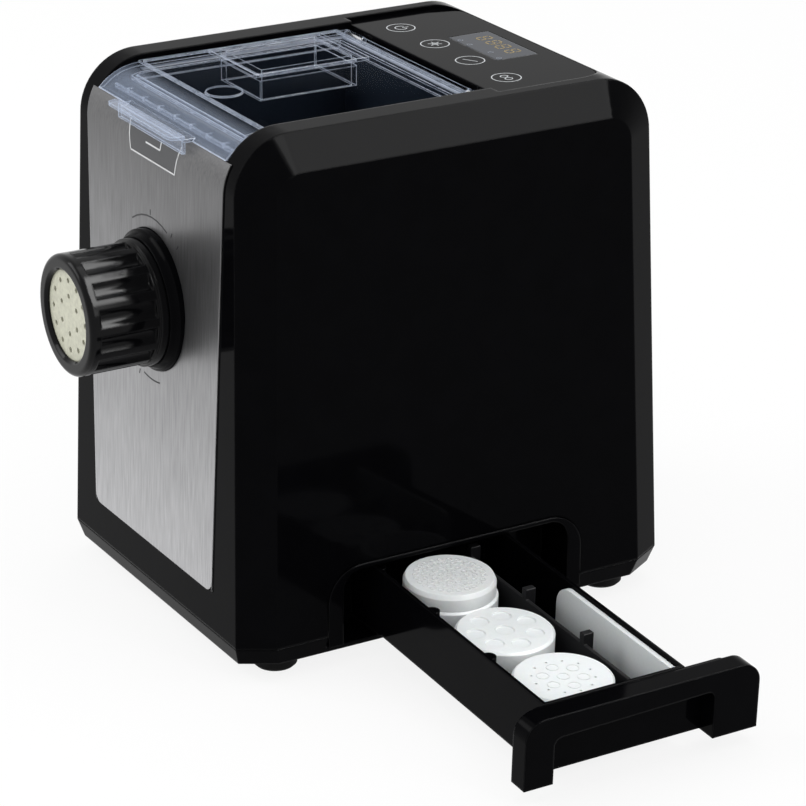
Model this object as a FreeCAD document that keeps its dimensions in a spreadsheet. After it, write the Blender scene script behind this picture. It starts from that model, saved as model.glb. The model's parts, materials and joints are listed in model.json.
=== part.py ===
import FreeCAD, Part
import math
import os
import Sketcher

# An electric pasta extruder: a moulded housing with a mixing bowl in its top, a worm that
# pushes dough through a die at the front, the gear train that turns it, and a drawer at
# the right side. X runs right, Y to the rear, Z up. The origin lies on the floor, under
# the middle of the housing. All sizes are in millimetres and degrees.

SIZES = {
    # Housing
    "body_width": 212.0,
    "body_depth": 261.0,
    "body_top": 299.0,
    "base_level": 9.2,
    "seam_level": 19.7,
    "seam_gap": 0.3,
    "draft": 1.76,
    "corner_radius": 33.0,
    "cheek_step": 11.0,
    "cheek_inset": 19.0,
    "shell_wall": 3.0,
    "crown_depth": 14.0,
    "skirt_inset": 3.0,
    "base_floor": 3.0,
    "fit_gap": 0.3,
    "running_gap": 0.05,
    # Deck, panel and lid
    "deck_level": 288.5,
    "deck_margin": 8.0,
    "deck_rear": 106.0,
    "panel_thick": 8.0,
    "panel_front": 35.6,
    "panel_radius": 18.0,
    "display_width": 52.0,
    "display_depth": 26.0,
    "display_y": 83.0,
    "display_thick": 1.2,
    "board_thick": 1.6,
    "lid_width": 150.0,
    "lid_top": 294.5,
    "lid_wall": 2.5,
    "lid_lip": 4.0,
    "lid_apron_drop": 10.9,
    "lid_tab_width": 76.0,
    "seal_thick": 0.7,
    "hinge_y": 32.4,
    "hinge_pin_radius": 1.5,
    "knuckle_wall": 1.0,
    "hinge_pin_length": 9.0,
    "hopper_x": -40.0,
    "hopper_y": -24.0,
    "hopper_width": 46.0,
    "hopper_depth": 60.0,
    "hopper_drop": 14.0,
    "hopper_wall": 2.0,
    "hopper_rim": 3.0,
    "hopper_flange": 5.0,
    "rim_rib": 1.0,
    "bump_radius": 10.0,
    # Front sheet
    "sheet_low": 42.0,
    "sheet_bend": 31.0,
    "sheet_width_low": 143.0,
    "sheet_width_high": 162.0,
    "sheet_thick": 0.8,
    "sheet_corner": 6.0,
    # Bowl
    "bowl_margin": 9.0,
    "bowl_wall": 3.0,
    "bowl_setback": 18.9,
    "bowl_rear": 26.0,
    "bowl_flange": 2.5,
    "seal_radius": 12.0,
    # Nozzle
    "axis_level": 185.8,
    "barrel_bore": 21.0,
    "barrel_radius": 26.0,
    "collar_radius": 38.9,
    "collar_reach": 10.1,
    "ring_radius": 33.4,
    "ring_length": 44.8,
    "ring_lip": 2.6,
    "ring_mouth": 24.7,
    "flute_count": 14.0,
    "flute_radius": 7.0,
    "flute_depth": 2.4,
    "die_radius": 26.5,
    "die_thick": 7.0,
    "die_hole": 1.5,
    # Worm and paddle
    "worm_core": 8.0,
    "worm_radius": 20.4,
    "worm_pitch": 30.0,
    "worm_flight": 4.0,
    "paddle_gap": 5.0,
    "paddle_hub": 14.0,
    "shaft_radius": 6.0,
    # Gear train
    "pressure_angle": 25.0,
    "backlash": 0.35,
    "slow_module": 2.0,
    "slow_pinion_teeth": 12.0,
    "slow_wheel_teeth": 50.0,
    "slow_face": 9.0,
    "slow_angle": 25.0,
    "fast_module": 1.5,
    "fast_pinion_teeth": 12.0,
    "fast_wheel_teeth": 48.0,
    "fast_face": 7.0,
    "fast_angle": -50.0,
    "gear_plate": 3.5,
    "slow_plane": 36.0,
    "fast_plane": 48.0,
    "motor_plane": 58.5,
    "motor_radius": 34.0,
    "motor_length": 44.0,
    "motor_shaft_radius": 2.5,
    "bush_wall": 3.0,
    # Drawer
    "drawer_tilt": 2.5,
    "drawer_face_x": 106.0,
    "drawer_mid": -3.4,
    "drawer_reach": 184.5,
    "tray_near": -54.0,
    "tray_far": 31.0,
    "tray_floor_level": 15.0,
    "tray_height": 38.0,
    "tray_wall": 2.0,
    "tray_length": 193.0,
    "front_low": 16.5,
    "front_high": 54.7,
    "front_half_low": 70.7,
    "front_half_high": 59.5,
    "front_thick": 12.0,
    "inner_front_thick": 4.0,
    "frame_band": 9.5,
    "frame_depth": 28.0,
    "frame_back": 2.0,
    "bay_wall": 2.0,
    "disc_radius": 26.5,
    "disc_height": 29.0,
    "disc_wall": 2.5,
    "disc_y": -22.5,
    "disc_first": 25.0,
    "disc_step": 56.5,
    # Feet
    "foot_radius": 12.0,
    "foot_x": 88.0,
    "foot_y": 105.0,
}

doc = FreeCAD.newDocument("PastaMaker")
sheet = doc.addObject("Spreadsheet::Sheet", "Sizes")
for row, (alias, number) in enumerate(SIZES.items(), start=1):
    sheet.set("A" + str(row), str(number))
    sheet.setAlias("A" + str(row), alias)
doc.recompute()


class Dim:
    """A length that knows both its number and the sheet expression behind it."""

    def __init__(self, number, text):
        self.number = float(number)
        self.text = text

    def __add__(self, other):
        other = dim(other)
        return Dim(self.number + other.number, "(" + self.text + " + " + other.text + ")")

    def __sub__(self, other):
        other = dim(other)
        return Dim(self.number - other.number, "(" + self.text + " - " + other.text + ")")

    def __mul__(self, other):
        other = dim(other)
        return Dim(self.number * other.number, "(" + self.text + " * " + other.text + ")")

    def __truediv__(self, other):
        other = dim(other)
        return Dim(self.number / other.number, "(" + self.text + " / " + other.text + ")")

    def __radd__(self, other):
        return dim(other) + self

    def __rsub__(self, other):
        return dim(other) - self

    def __rmul__(self, other):
        return dim(other) * self

    def __neg__(self):
        return Dim(-self.number, "(0 - " + self.text + ")")


def dim(thing):
    """Wrap a plain number as a Dim."""
    if isinstance(thing, Dim):
        return thing
    return Dim(thing, "(" + repr(float(thing)) + ")")


def size(alias):
    """The sheet's cell of this name."""
    return Dim(sheet.get(alias), "Sizes." + alias)


def sine(angle):
    return Dim(math.sin(math.radians(angle.number)), "sin(" + angle.text + ")")


def cosine(angle):
    return Dim(math.cos(math.radians(angle.number)), "cos(" + angle.text + ")")


def tangent(angle):
    return Dim(math.tan(math.radians(angle.number)), "tan(" + angle.text + ")")


def root(area):
    return Dim(math.sqrt(area.number), "sqrt(" + area.text + ")")


def bind(feature, prop, length):
    """Give a feature's property its number and the expression that drives it."""
    feature.setExpression(prop, dim(length).text)


PLANES = {"top": "XY_Plane", "front": "XZ_Plane", "side": "YZ_Plane"}
pieces = []


class Piece:
    """One moulded, turned or cut piece, built as a PartDesign body."""

    def __init__(self, label, at=(0, 0, 0), turn_axis=None, turn=0):
        self.body = doc.addObject("PartDesign::Body", label)
        self.body.Label = label
        self.body.AllowCompound = True
        self.count = 0
        base = FreeCAD.Vector(*[dim(step).number for step in at])
        rotation = FreeCAD.Rotation()
        if turn_axis is not None:
            rotation = FreeCAD.Rotation(FreeCAD.Vector(*turn_axis), dim(turn).number)
        self.body.Placement = FreeCAD.Placement(base, rotation)
        for name, step in zip("xyz", at):
            if isinstance(step, Dim):
                bind(self.body, "Placement.Base." + name, step)
        if isinstance(turn, Dim):
            bind(self.body, "Placement.Rotation.Angle", turn)
        pieces.append(self.body)

    def origin(self, role):
        return next(item for item in self.body.Origin.OriginFeatures if item.Role == role)

    def add(self, kind, name):
        self.count += 1
        return self.body.newObject(kind, self.body.Label + "_" + name + str(self.count))

    def sketch(self, plane, level=0, lean=0):
        """An empty sketch on a plane of the piece: top at Z, front at Y, side at X."""
        drawing = self.add("Sketcher::SketchObject", "sketch")
        drawing.AttachmentSupport = [(self.origin(PLANES[plane]), "")]
        drawing.MapMode = "FlatFace"
        level = dim(level)
        if plane == "front":
            level = -level
        rotation = FreeCAD.Rotation(FreeCAD.Vector(1, 0, 0), dim(lean).number)
        drawing.AttachmentOffset = FreeCAD.Placement(FreeCAD.Vector(0, 0, level.number), rotation)
        bind(drawing, "AttachmentOffset.Base.z", level)
        if isinstance(lean, Dim):
            bind(drawing, "AttachmentOffset.Rotation.Angle", lean)
        return drawing

    def pad(self, plane, low, high, *shapes):
        """Add the shapes' area between two levels of the plane's own axis."""
        low, high = dim(low), dim(high)
        start = high if plane == "front" else low
        drawing = self.sketch(plane, start)
        draw(drawing, shapes)
        feature = self.add("PartDesign::Pad", "pad")
        feature.Profile = drawing
        feature.Length = high.number - low.number
        bind(feature, "Length", high - low)
        return self.keep(feature)

    def cut(self, plane, low, high, *shapes):
        """Take the shapes' area away between two levels of the plane's own axis."""
        low, high = dim(low), dim(high)
        start = low if plane == "front" else high
        drawing = self.sketch(plane, start)
        draw(drawing, shapes)
        feature = self.add("PartDesign::Pocket", "pocket")
        feature.Profile = drawing
        feature.Length = high.number - low.number
        bind(feature, "Length", high - low)
        return self.keep(feature)

    def revolve(self, plane, *shapes):
        """Turn a profile about the plane's second axis: Y from top, Z from front."""
        drawing = self.sketch(plane)
        draw(drawing, shapes)
        feature = self.add("PartDesign::Revolution", "turned")
        feature.Profile = drawing
        feature.ReferenceAxis = (drawing, ["V_Axis"])
        feature.Angle = FULL_TURN
        return self.keep(feature)

    def groove(self, plane, *shapes):
        """Turn a profile away about the plane's second axis."""
        drawing = self.sketch(plane)
        draw(drawing, shapes)
        feature = self.add("PartDesign::Groove", "groove")
        feature.Profile = drawing
        feature.ReferenceAxis = (drawing, ["V_Axis"])
        feature.Angle = FULL_TURN
        return self.keep(feature)

    def loft(self, sections, away=False):
        """Join section sketches with ruled faces, adding or taking away."""
        kind = "PartDesign::SubtractiveLoft" if away else "PartDesign::AdditiveLoft"
        feature = self.add(kind, "loft")
        feature.Profile = sections[0]
        feature.Sections = sections[1:]
        feature.Ruled = True
        return self.keep(feature)

    def polar(self, feature, role, count):
        """Repeat a feature evenly round one of the piece's own axes."""
        pattern = self.add("PartDesign::PolarPattern", "round")
        pattern.Originals = [feature]
        pattern.Axis = (self.origin(role), [""])
        pattern.Angle = FULL_TURN
        pattern.Occurrences = int(round(dim(count).number))
        bind(pattern, "Occurrences", count)
        self.body.Tip = pattern
        return self.keep(pattern)

    def row(self, feature, role, length, count):
        """Repeat a feature along one of the piece's own axes."""
        pattern = self.add("PartDesign::LinearPattern", "row")
        pattern.Originals = [feature]
        pattern.Direction = (self.origin(role), [""])
        pattern.Length = dim(length).number
        bind(pattern, "Length", length)
        pattern.Occurrences = count
        self.body.Tip = pattern
        return self.keep(pattern)

    def mirror(self, features, role):
        """Mirror features in one of the piece's own planes."""
        pattern = self.add("PartDesign::Mirrored", "mirror")
        pattern.Originals = features
        pattern.MirrorPlane = (self.origin(role), [""])
        self.body.Tip = pattern
        return self.keep(pattern)

    def round_edges(self, edges, radius):
        """Fillet the edges whose numbers are given."""
        feature = self.add("PartDesign::Fillet", "round")
        feature.Base = (self.body.Tip, edges)
        feature.Radius = dim(radius).number
        bind(feature, "Radius", radius)
        return self.keep(feature)

    def keep(self, feature):
        doc.recompute()
        return feature

    def edges(self, test):
        """Names of the present edges whose middle point passes the test."""
        found = []
        shape = self.body.Tip.Shape
        for number, edge in enumerate(shape.Edges, start=1):
            middle = edge.valueAt((edge.FirstParameter + edge.LastParameter) / 2)
            if test(edge, middle):
                found.append("Edge" + str(number))
        return found


FULL_TURN = 360.0
ARC = "arc"
LOOP = "loop"
CIRCLE = "circle"


def loop(*points):
    """A closed outline. A point may carry the radius of the arc that leads to the next.

    The arc turns anticlockwise, or clockwise where the radius is negative.
    """
    return (LOOP, points)


def circle(across, up, radius):
    return (CIRCLE, (dim(across), dim(up), dim(radius)))


def rect(left, right, low, high):
    """A rectangle between two pairs of levels."""
    return loop((left, low), (right, low), (right, high), (left, high))


def rounded(left, right, low, high, radius):
    """A rectangle with quarter rounds at its corners."""
    left, right, low, high, radius = [dim(item) for item in (left, right, low, high, radius)]
    return loop(
        (left + radius, low),
        (right - radius, low, radius),
        (right, low + radius),
        (right, high - radius, radius),
        (right - radius, high),
        (left + radius, high, radius),
        (left, high - radius),
        (left, low + radius, radius),
    )


def pin_point(drawing, geometry, position, across, up):
    """Fix one point of the sketch by its two distances from the sketch's origin."""
    for kind, step in (("DistanceX", across), ("DistanceY", up)):
        index = drawing.addConstraint(Sketcher.Constraint(kind, geometry, position, step.number))
        bind(drawing, "Constraints[" + str(index) + "]", step)


def arc_through(start, end, radius):
    """The arc that turns anticlockwise from start to end, under half a turn."""
    chord = end - start
    middle = (start + end) * 0.5
    reach = math.sqrt(max(radius * radius - chord.Length * chord.Length / 4, 0.0))
    normal = FreeCAD.Vector(-chord.y, chord.x, 0).normalize()
    centre = middle + normal * reach
    first = math.atan2(start.y - centre.y, start.x - centre.x)
    last = math.atan2(end.y - centre.y, end.x - centre.x)
    round_line = Part.Circle(centre, FreeCAD.Vector(0, 0, 1), radius)
    return Part.ArcOfCircle(round_line, first, last)


def draw_loop(drawing, points):
    places = [(dim(point[0]), dim(point[1])) for point in points]
    vectors = [FreeCAD.Vector(across.number, up.number, 0) for across, up in places]
    radii = [dim(point[2]) if len(point) > 2 else None for point in points]
    first = drawing.GeometryCount
    total = len(points)
    ends = []
    for index, radius in enumerate(radii):
        start, end = vectors[index], vectors[(index + 1) % total]
        if radius is None:
            drawing.addGeometry(Part.LineSegment(start, end), False)
            ends.append((1, 2))
        elif radius.number > 0:
            drawing.addGeometry(arc_through(start, end, radius.number), False)
            ends.append((1, 2))
        else:
            drawing.addGeometry(arc_through(end, start, -radius.number), False)
            ends.append((2, 1))
    for index in range(total):
        following = (index + 1) % total
        join = Sketcher.Constraint("Coincident", first + index, ends[index][1],
                                   first + following, ends[following][0])
        drawing.addConstraint(join)
    for index, radius in enumerate(radii):
        pin_point(drawing, first + index, ends[index][0], *places[index])
        if radius is not None:
            size_of_arc = radius if radius.number > 0 else -radius
            constraint = Sketcher.Constraint("Radius", first + index, size_of_arc.number)
            number = drawing.addConstraint(constraint)
            bind(drawing, "Constraints[" + str(number) + "]", size_of_arc)


def draw_circle(drawing, across, up, radius):
    centre = FreeCAD.Vector(across.number, up.number, 0)
    index = drawing.addGeometry(Part.Circle(centre, FreeCAD.Vector(0, 0, 1), radius.number), False)
    pin_point(drawing, index, 3, across, up)
    number = drawing.addConstraint(Sketcher.Constraint("Radius", index, radius.number))
    bind(drawing, "Constraints[" + str(number) + "]", radius)


def draw(drawing, shapes):
    for kind, content in shapes:
        if kind == CIRCLE:
            draw_circle(drawing, *content)
        else:
            draw_loop(drawing, content)


# Sizes that several pieces share
GAP = size("fit_gap")
RUN = size("running_gap")
WALL = size("shell_wall")
TOP = size("body_top")
SEAM = size("seam_level")
AXIS = size("axis_level")
DECK = size("deck_level")
LEAN = tangent(size("draft"))
MIDDLE = TOP / 2
HALF_DEPTH_LOW = size("body_depth") / 2 + LEAN * (MIDDLE - SEAM)
SHOULDER = TOP - size("corner_radius")
HALF_DEPTH_HIGH = size("body_depth") / 2 - LEAN * (SHOULDER - MIDDLE)
HALF_WIDTH_FLOOR = size("body_width") / 2 + LEAN * MIDDLE
STEP = size("cheek_step")
INSET = size("cheek_inset")


def half_width(level):
    """Half the housing's width at a height."""
    return HALF_WIDTH_FLOOR - LEAN * level


def front_face(level):
    """The Y of the housing's front face at a height."""
    return -(size("body_depth") / 2 - LEAN * (level - MIDDLE))


def side_profile(inset, crown, foot):
    """The housing's side outline, drawn in from the outside by an inset."""
    radius = size("corner_radius") - inset
    front = -HALF_DEPTH_HIGH + inset
    rear = HALF_DEPTH_HIGH - inset
    return loop(
        (-HALF_DEPTH_LOW + inset, foot),
        (HALF_DEPTH_LOW - inset, foot),
        (rear, crown - radius, radius),
        (rear - radius, crown),
        (front + radius, crown, radius),
        (front, crown - radius),
    )


def leaning_sections(piece, outer, inner):
    """Four sections across the housing: side faces outside, full profile inside."""
    draft = size("draft")
    planes = (
        (-outer[0], draft, outer[1]),
        (-inner[0], draft, inner[1]),
        (inner[0], -draft, inner[1]),
        (outer[0], -draft, outer[1]),
    )
    sections = []
    for level, lean, profile in planes:
        drawing = piece.sketch("side", level, lean)
        draw(drawing, [profile])
        sections.append(drawing)
    return sections


def arch(low, high, half_low, half_high, middle):
    """The drawer front's outline: flat top, round shoulders and near upright sides."""
    radius = half_low - half_high
    return loop(
        (middle - half_low, low),
        (middle + half_low, low),
        (middle + half_low, high - radius, radius),
        (middle + half_high, high),
        (middle - half_high, high, radius),
        (middle - half_low, high - radius),
    )


# Levels and planes worked out from the sizes, used by more than one piece
LID_HALF = size("lid_width") / 2
DECK_HALF = LID_HALF + size("deck_margin")
BOWL_RADIUS = LID_HALF - size("bowl_margin")
BOWL_INSIDE_FRONT = -HALF_DEPTH_HIGH + size("bowl_setback")
BOWL_OUTER = BOWL_RADIUS + size("bowl_wall")
BOWL_FRONT = BOWL_INSIDE_FRONT - size("bowl_wall")
BOWL_REAR = size("bowl_rear") + size("bowl_wall")
PADDLE_REACH = BOWL_RADIUS - size("paddle_gap")
COLLAR_FRONT = -HALF_DEPTH_HIGH - size("collar_reach")
RING_TIP = COLLAR_FRONT - size("ring_length")
LID_UNDER = size("lid_top") - size("lid_wall")
HINGE_Y = size("hinge_y")
PIN = size("hinge_pin_radius")
KNUCKLE = PIN + size("knuckle_wall")
HINGE_LEVEL = size("lid_top") - KNUCKLE
BIG_ROUND = size("corner_radius")
APRON_END = size("lid_top") - size("lid_apron_drop")
APRON_RUN = root(BIG_ROUND * size("lid_apron_drop") * 2 - size("lid_apron_drop") * size("lid_apron_drop"))
CORNER_Y = -HALF_DEPTH_HIGH + BIG_ROUND
SHEET_TOP = SHOULDER + BIG_ROUND * sine(size("sheet_bend"))
SHEET_TOP_Y = CORNER_Y - BIG_ROUND * cosine(size("sheet_bend"))
APRON_Y = SHEET_TOP_Y - size("sheet_thick") - RUN
BEND_Y = APRON_Y + APRON_RUN
OUTSIDE = HALF_DEPTH_LOW + BIG_ROUND
BOSS_X = size("foot_x") - size("foot_radius")
BOSS_Y = HALF_DEPTH_LOW - WALL * 3
BOSS_RADIUS = WALL * 2
SCREW_RADIUS = WALL / 2
SCREW_HEAD = SCREW_RADIUS * 2.2
BOSS_HEIGHT = BOSS_RADIUS * 4
GLAND_X = -size("foot_x") + size("foot_radius")
GLAND_Z = SEAM + size("foot_radius") * 3
GLAND_RADIUS = size("foot_radius") / 2
BARREL_FRONT = RING_TIP + size("ring_lip") + size("die_thick") + RUN * 2
SHAFT = size("shaft_radius")
FLOOR_TOP = size("base_level") + size("base_floor")


def build_housing():
    """Moulded shell with soft cheeks, a sunk deck, the drawer mouth and rear vents."""
    piece = Piece("housing")
    half = HALF_WIDTH_FLOOR
    outer = (half, side_profile(INSET, TOP - INSET, SEAM))
    inner = (half - STEP, side_profile(dim(0), TOP, SEAM))
    piece.loft(leaning_sections(piece, outer, inner))
    crown = TOP - size("crown_depth")
    hollow_side = (half - WALL, side_profile(INSET + WALL / 2, crown - INSET / 2, SEAM - WALL))
    hollow_full = (half - STEP - WALL, side_profile(WALL, crown, SEAM - WALL))
    piece.loft(leaning_sections(piece, hollow_side, hollow_full), away=True)
    for side in (-1, 1):
        for end in (-1, 1):
            piece.pad("top", SEAM, SEAM + BOSS_HEIGHT, circle(BOSS_X * side, BOSS_Y * end, BOSS_RADIUS))
            piece.cut("top", SEAM, SEAM + BOSS_HEIGHT - WALL,
                      circle(BOSS_X * side, BOSS_Y * end, SCREW_RADIUS + RUN))
    # The sunk deck for the control panel, then the lid's bed, which runs out to the front
    deck_half = DECK_HALF
    piece.cut("top", DECK, TOP + WALL, panel_outline(deck_half, size("panel_front"), size("deck_rear")))
    bed_half = LID_HALF + GAP
    piece.cut("top", DECK, TOP + WALL, rect(-bed_half, bed_half, -OUTSIDE, size("panel_front")))
    bowl_half = BOWL_OUTER + GAP
    piece.cut("top", SEAM, TOP, rect(-bowl_half, bowl_half, BOWL_FRONT - GAP, BOWL_REAR + GAP))
    piece.cut("top", SHEET_TOP, TOP, rect(-bed_half, bed_half, -OUTSIDE, BOWL_FRONT - GAP))
    # Hinge holes in the two walls beside the lid's bed
    pin_reach = LID_HALF + size("hinge_pin_length")
    piece.cut("side", -pin_reach, pin_reach, circle(HINGE_Y, HINGE_LEVEL, PIN + RUN))
    # The collar's hole, the drawer mouth, the vents and the lead's hole
    wall_back = -HALF_DEPTH_HIGH + WALL * 2
    piece.cut("front", -OUTSIDE, wall_back, circle(0, AXIS, size("collar_radius") + GAP))
    piece.cut("side", half_width(TOP) - INSET, half + WALL, mouth_outline(GAP))
    slot = WALL / 2
    vent_half = size("foot_x") - BIG_ROUND
    vent_low = SEAM + BOSS_HEIGHT * 2
    first = piece.cut("front", -wall_back, OUTSIDE,
                      rounded(-vent_half, vent_half, vent_low, vent_low + WALL, slot - RUN))
    piece.row(first, "Z_Axis", WALL * 3 * VENT_GAPS, VENT_GAPS + 1)
    piece.cut("front", -wall_back, OUTSIDE, circle(GLAND_X, GLAND_Z, GLAND_RADIUS + GAP))
    return piece


VENT_GAPS = 6


def panel_outline(half, front, rear):
    """The control panel's outline: square at the lid, rounded at the rear."""
    radius = size("panel_radius")
    return loop(
        (-half, front),
        (half, front),
        (half, rear - radius, radius),
        (half - radius, rear),
        (-half + radius, rear, radius),
        (-half, rear - radius),
    )


def mouth_outline(grow):
    """The drawer mouth in the side wall, one band wider than the drawer's front."""
    half = size("front_half_low") + size("frame_band") + grow
    return arch(
        SEAM - WALL * 2,
        size("front_high") + WALL + grow,
        half,
        size("front_half_high") + grow,
        size("drawer_mid"),
    )


def cut_corner_outline(half_x, half_y, corner_x, corner_y):
    """The housing's plan: a rectangle with its four corners cut off."""
    return loop(
        (-half_x + corner_x, -half_y),
        (half_x - corner_x, -half_y),
        (half_x, -half_y + corner_y),
        (half_x, half_y - corner_y),
        (half_x - corner_x, half_y),
        (-half_x + corner_x, half_y),
        (-half_x, half_y - corner_y),
        (-half_x, -half_y + corner_y),
    )


def build_base():
    """Shallow bottom tray with a chamfered skirt, foot seats and screw bosses."""
    piece = Piece("base_tray")
    half_x = half_width(SEAM)
    shrink = size("skirt_inset")
    rim = SEAM - size("seam_gap")
    sections = []
    for level, inset in ((size("base_level"), shrink), (rim, dim(0))):
        drawing = piece.sketch("top", level)
        draw(drawing, [cut_corner_outline(half_x - inset, HALF_DEPTH_LOW - inset, STEP, INSET)])
        sections.append(drawing)
    piece.loft(sections)
    wall = WALL + shrink
    piece.cut("top", FLOOR_TOP, SEAM,
              cut_corner_outline(half_x - wall, HALF_DEPTH_LOW - wall, STEP, INSET))
    mouth = size("front_half_low") + size("frame_band") + GAP
    middle = size("drawer_mid")
    piece.cut("top", FLOOR_TOP, SEAM,
              rect(MOUTH_BACK - GAP, half_x + WALL, middle - mouth, middle + mouth))
    head_top = FLOOR_TOP + SCREW_RADIUS
    for side in (-1, 1):
        for end in (-1, 1):
            place = (BOSS_X * side, BOSS_Y * end)
            piece.pad("top", FLOOR_TOP, rim, circle(*place, BOSS_RADIUS))
            piece.cut("top", size("base_level"), head_top, circle(*place, SCREW_HEAD + GAP))
            piece.cut("top", size("base_level"), rim, circle(*place, SCREW_RADIUS + RUN))
    vent_half = size("foot_radius")
    first = piece.cut("top", size("base_level"), FLOOR_TOP,
                      rounded(-vent_half, vent_half, AIR_Y, AIR_Y + WALL, WALL / 2 - RUN))
    piece.row(first, "Y_Axis", WALL * 2 * AIR_GAPS, AIR_GAPS + 1)
    return piece


AIR_GAPS = 6
AIR_Y = size("tray_far") + size("foot_radius")
MOUTH_BACK = size("drawer_face_x") + WALL - size("frame_depth")


def build_feet():
    """Four rubber feet, dished underneath, each with a flat bearing ring."""
    names = {(-1, -1): "foot_front_left", (1, -1): "foot_front_right",
             (-1, 1): "foot_rear_left", (1, 1): "foot_rear_right"}
    radius = size("foot_radius")
    level = size("base_level")
    for (side, end), name in names.items():
        piece = Piece(name, at=(size("foot_x") * side, size("foot_y") * end, dim(0)))
        piece.revolve("front", loop(
            (0, dim(0)),
            (radius - WALL / 2, dim(0)),
            (radius, WALL / 2),
            (radius, level - WALL),
            (radius - WALL / 2, level),
            (0, level),
        ))


def build_base_screws():
    """Four pan head screws that hold the bottom tray to the housing's bosses."""
    piece = Piece("base_screws")
    head_top = FLOOR_TOP + SCREW_RADIUS - RUN
    for side in (-1, 1):
        for end in (-1, 1):
            place = (BOSS_X * side, BOSS_Y * end)
            piece.pad("top", FLOOR_TOP - SCREW_RADIUS, head_top, circle(*place, SCREW_HEAD))
            piece.pad("top", FLOOR_TOP, SEAM + BOSS_HEIGHT / 2, circle(*place, SCREW_RADIUS))


def build_front_panel():
    """Thin sheet on the front that bends back over the top corner and narrows downwards."""
    piece = Piece("front_panel")
    thick = size("sheet_thick")
    low = size("sheet_low")
    foot = front_face(low) - RUN
    knee = -HALF_DEPTH_HIGH - RUN
    bend = size("sheet_bend")
    inner = BIG_ROUND + RUN
    outer = inner + thick
    half = size("sheet_width_high") / 2
    piece.pad("side", -half, half, loop(
        (foot - thick, low),
        (foot, low),
        (knee, SHOULDER, -inner),
        (CORNER_Y - inner * cosine(bend), SHOULDER + inner * sine(bend)),
        (CORNER_Y - outer * cosine(bend), SHOULDER + outer * sine(bend), outer),
        (knee - thick, SHOULDER),
    ))
    half_low = size("sheet_width_low") / 2
    far = half + BIG_ROUND
    for side in (-1, 1):
        piece.cut("front", -OUTSIDE, -HALF_DEPTH_HIGH + BIG_ROUND, loop(
            (half_low * side, low),
            (far * side, low),
            (far * side, SHEET_TOP),
            (half * side, SHEET_TOP),
        ))
    corner = size("sheet_corner")
    for side in (-1, 1):
        piece.cut("front", -OUTSIDE, -HALF_DEPTH_HIGH + BIG_ROUND, loop(
            ((half_low - corner) * side, low),
            (half_low * side, low),
            (half_low * side, low + corner, corner * -side),
        ))
    piece.cut("front", -OUTSIDE, -HALF_DEPTH_HIGH + BIG_ROUND,
              circle(0, AXIS, size("collar_radius") + GAP))


def build_panel():
    """Gloss touch panel behind the lid, its display window and its circuit board."""
    half = DECK_HALF - GAP
    front = size("panel_front") + RUN
    rear = size("deck_rear") - GAP
    thick = size("panel_thick")
    window_x = size("display_width") / 2
    window_y = size("display_depth") / 2
    middle = size("display_y")
    glass = size("display_thick")
    pocket_x = window_x * 2 + window_y
    board = size("board_thick")
    module = DECK + board + WALL
    panel = Piece("control_panel")
    panel.pad("top", DECK, DECK + thick, panel_outline(half, front, rear))
    panel.cut("top", DECK + thick - glass, DECK + thick,
              rect(-window_x, window_x, middle - window_y, middle + window_y))
    panel.cut("top", DECK, module + GAP,
              rect(-pocket_x, pocket_x, front + WALL, middle + window_y + WALL / 2))
    window = Piece("display_window")
    window.pad("top", DECK + thick - glass, DECK + thick,
               rect(-window_x + RUN, window_x - RUN, middle - window_y + RUN, middle + window_y - RUN))
    circuit = Piece("control_board")
    circuit.pad("top", DECK, DECK + board,
                rect(-pocket_x + GAP, pocket_x - GAP, front + WALL + GAP, middle + window_y))
    circuit.pad("top", DECK + board, module,
                rect(-window_x + WALL, window_x - WALL, middle - window_y + WALL, middle + window_y - WALL))
    for column in (-1.5, -0.5, 0.5, 1.5):
        circuit.pad("top", DECK + board, module, circle(TOUCH_STEP * column, TOUCH_Y, WALL * 2))


TOUCH_STEP = size("display_width") * 0.72
TOUCH_Y = size("display_y") - size("display_depth")


def trough(radius, top):
    """A U outline about the worm's axis, open to the top."""
    return loop(
        (-radius, top),
        (-radius, AXIS, radius),
        (dim(0), AXIS - radius, radius),
        (radius, AXIS),
        (radius, top),
    )


def build_bowl():
    """Mixing bowl: a round-bottomed trough with a flange that lies on the deck."""
    bowl = Piece("mixing_bowl")
    flange = DECK + size("bowl_flange")
    bowl.pad("front", BOWL_FRONT, BOWL_REAR, trough(BOWL_OUTER, DECK))
    bowl.pad("top", DECK, flange, rect(-LID_HALF, LID_HALF, BEND_Y, BOWL_REAR))
    bowl.cut("front", BOWL_INSIDE_FRONT, size("bowl_rear"), trough(BOWL_RADIUS, flange + WALL))
    bowl.cut("front", BOWL_FRONT, BOWL_INSIDE_FRONT, circle(0, AXIS, size("barrel_bore")))
    bowl.cut("front", size("bowl_rear"), BOWL_REAR, circle(0, AXIS, size("seal_radius")))
    seal = Piece("shaft_seal", at=(0, 0, AXIS))
    bore = SHAFT + RUN
    rim = size("seal_radius")
    seal.revolve("top", loop(
        (bore, size("bowl_rear") - WALL),
        (bore + WALL, size("bowl_rear") - WALL),
        (rim - RUN, size("bowl_rear")),
        (rim - RUN, BOWL_REAR),
        (bore, BOWL_REAR),
    ))


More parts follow.
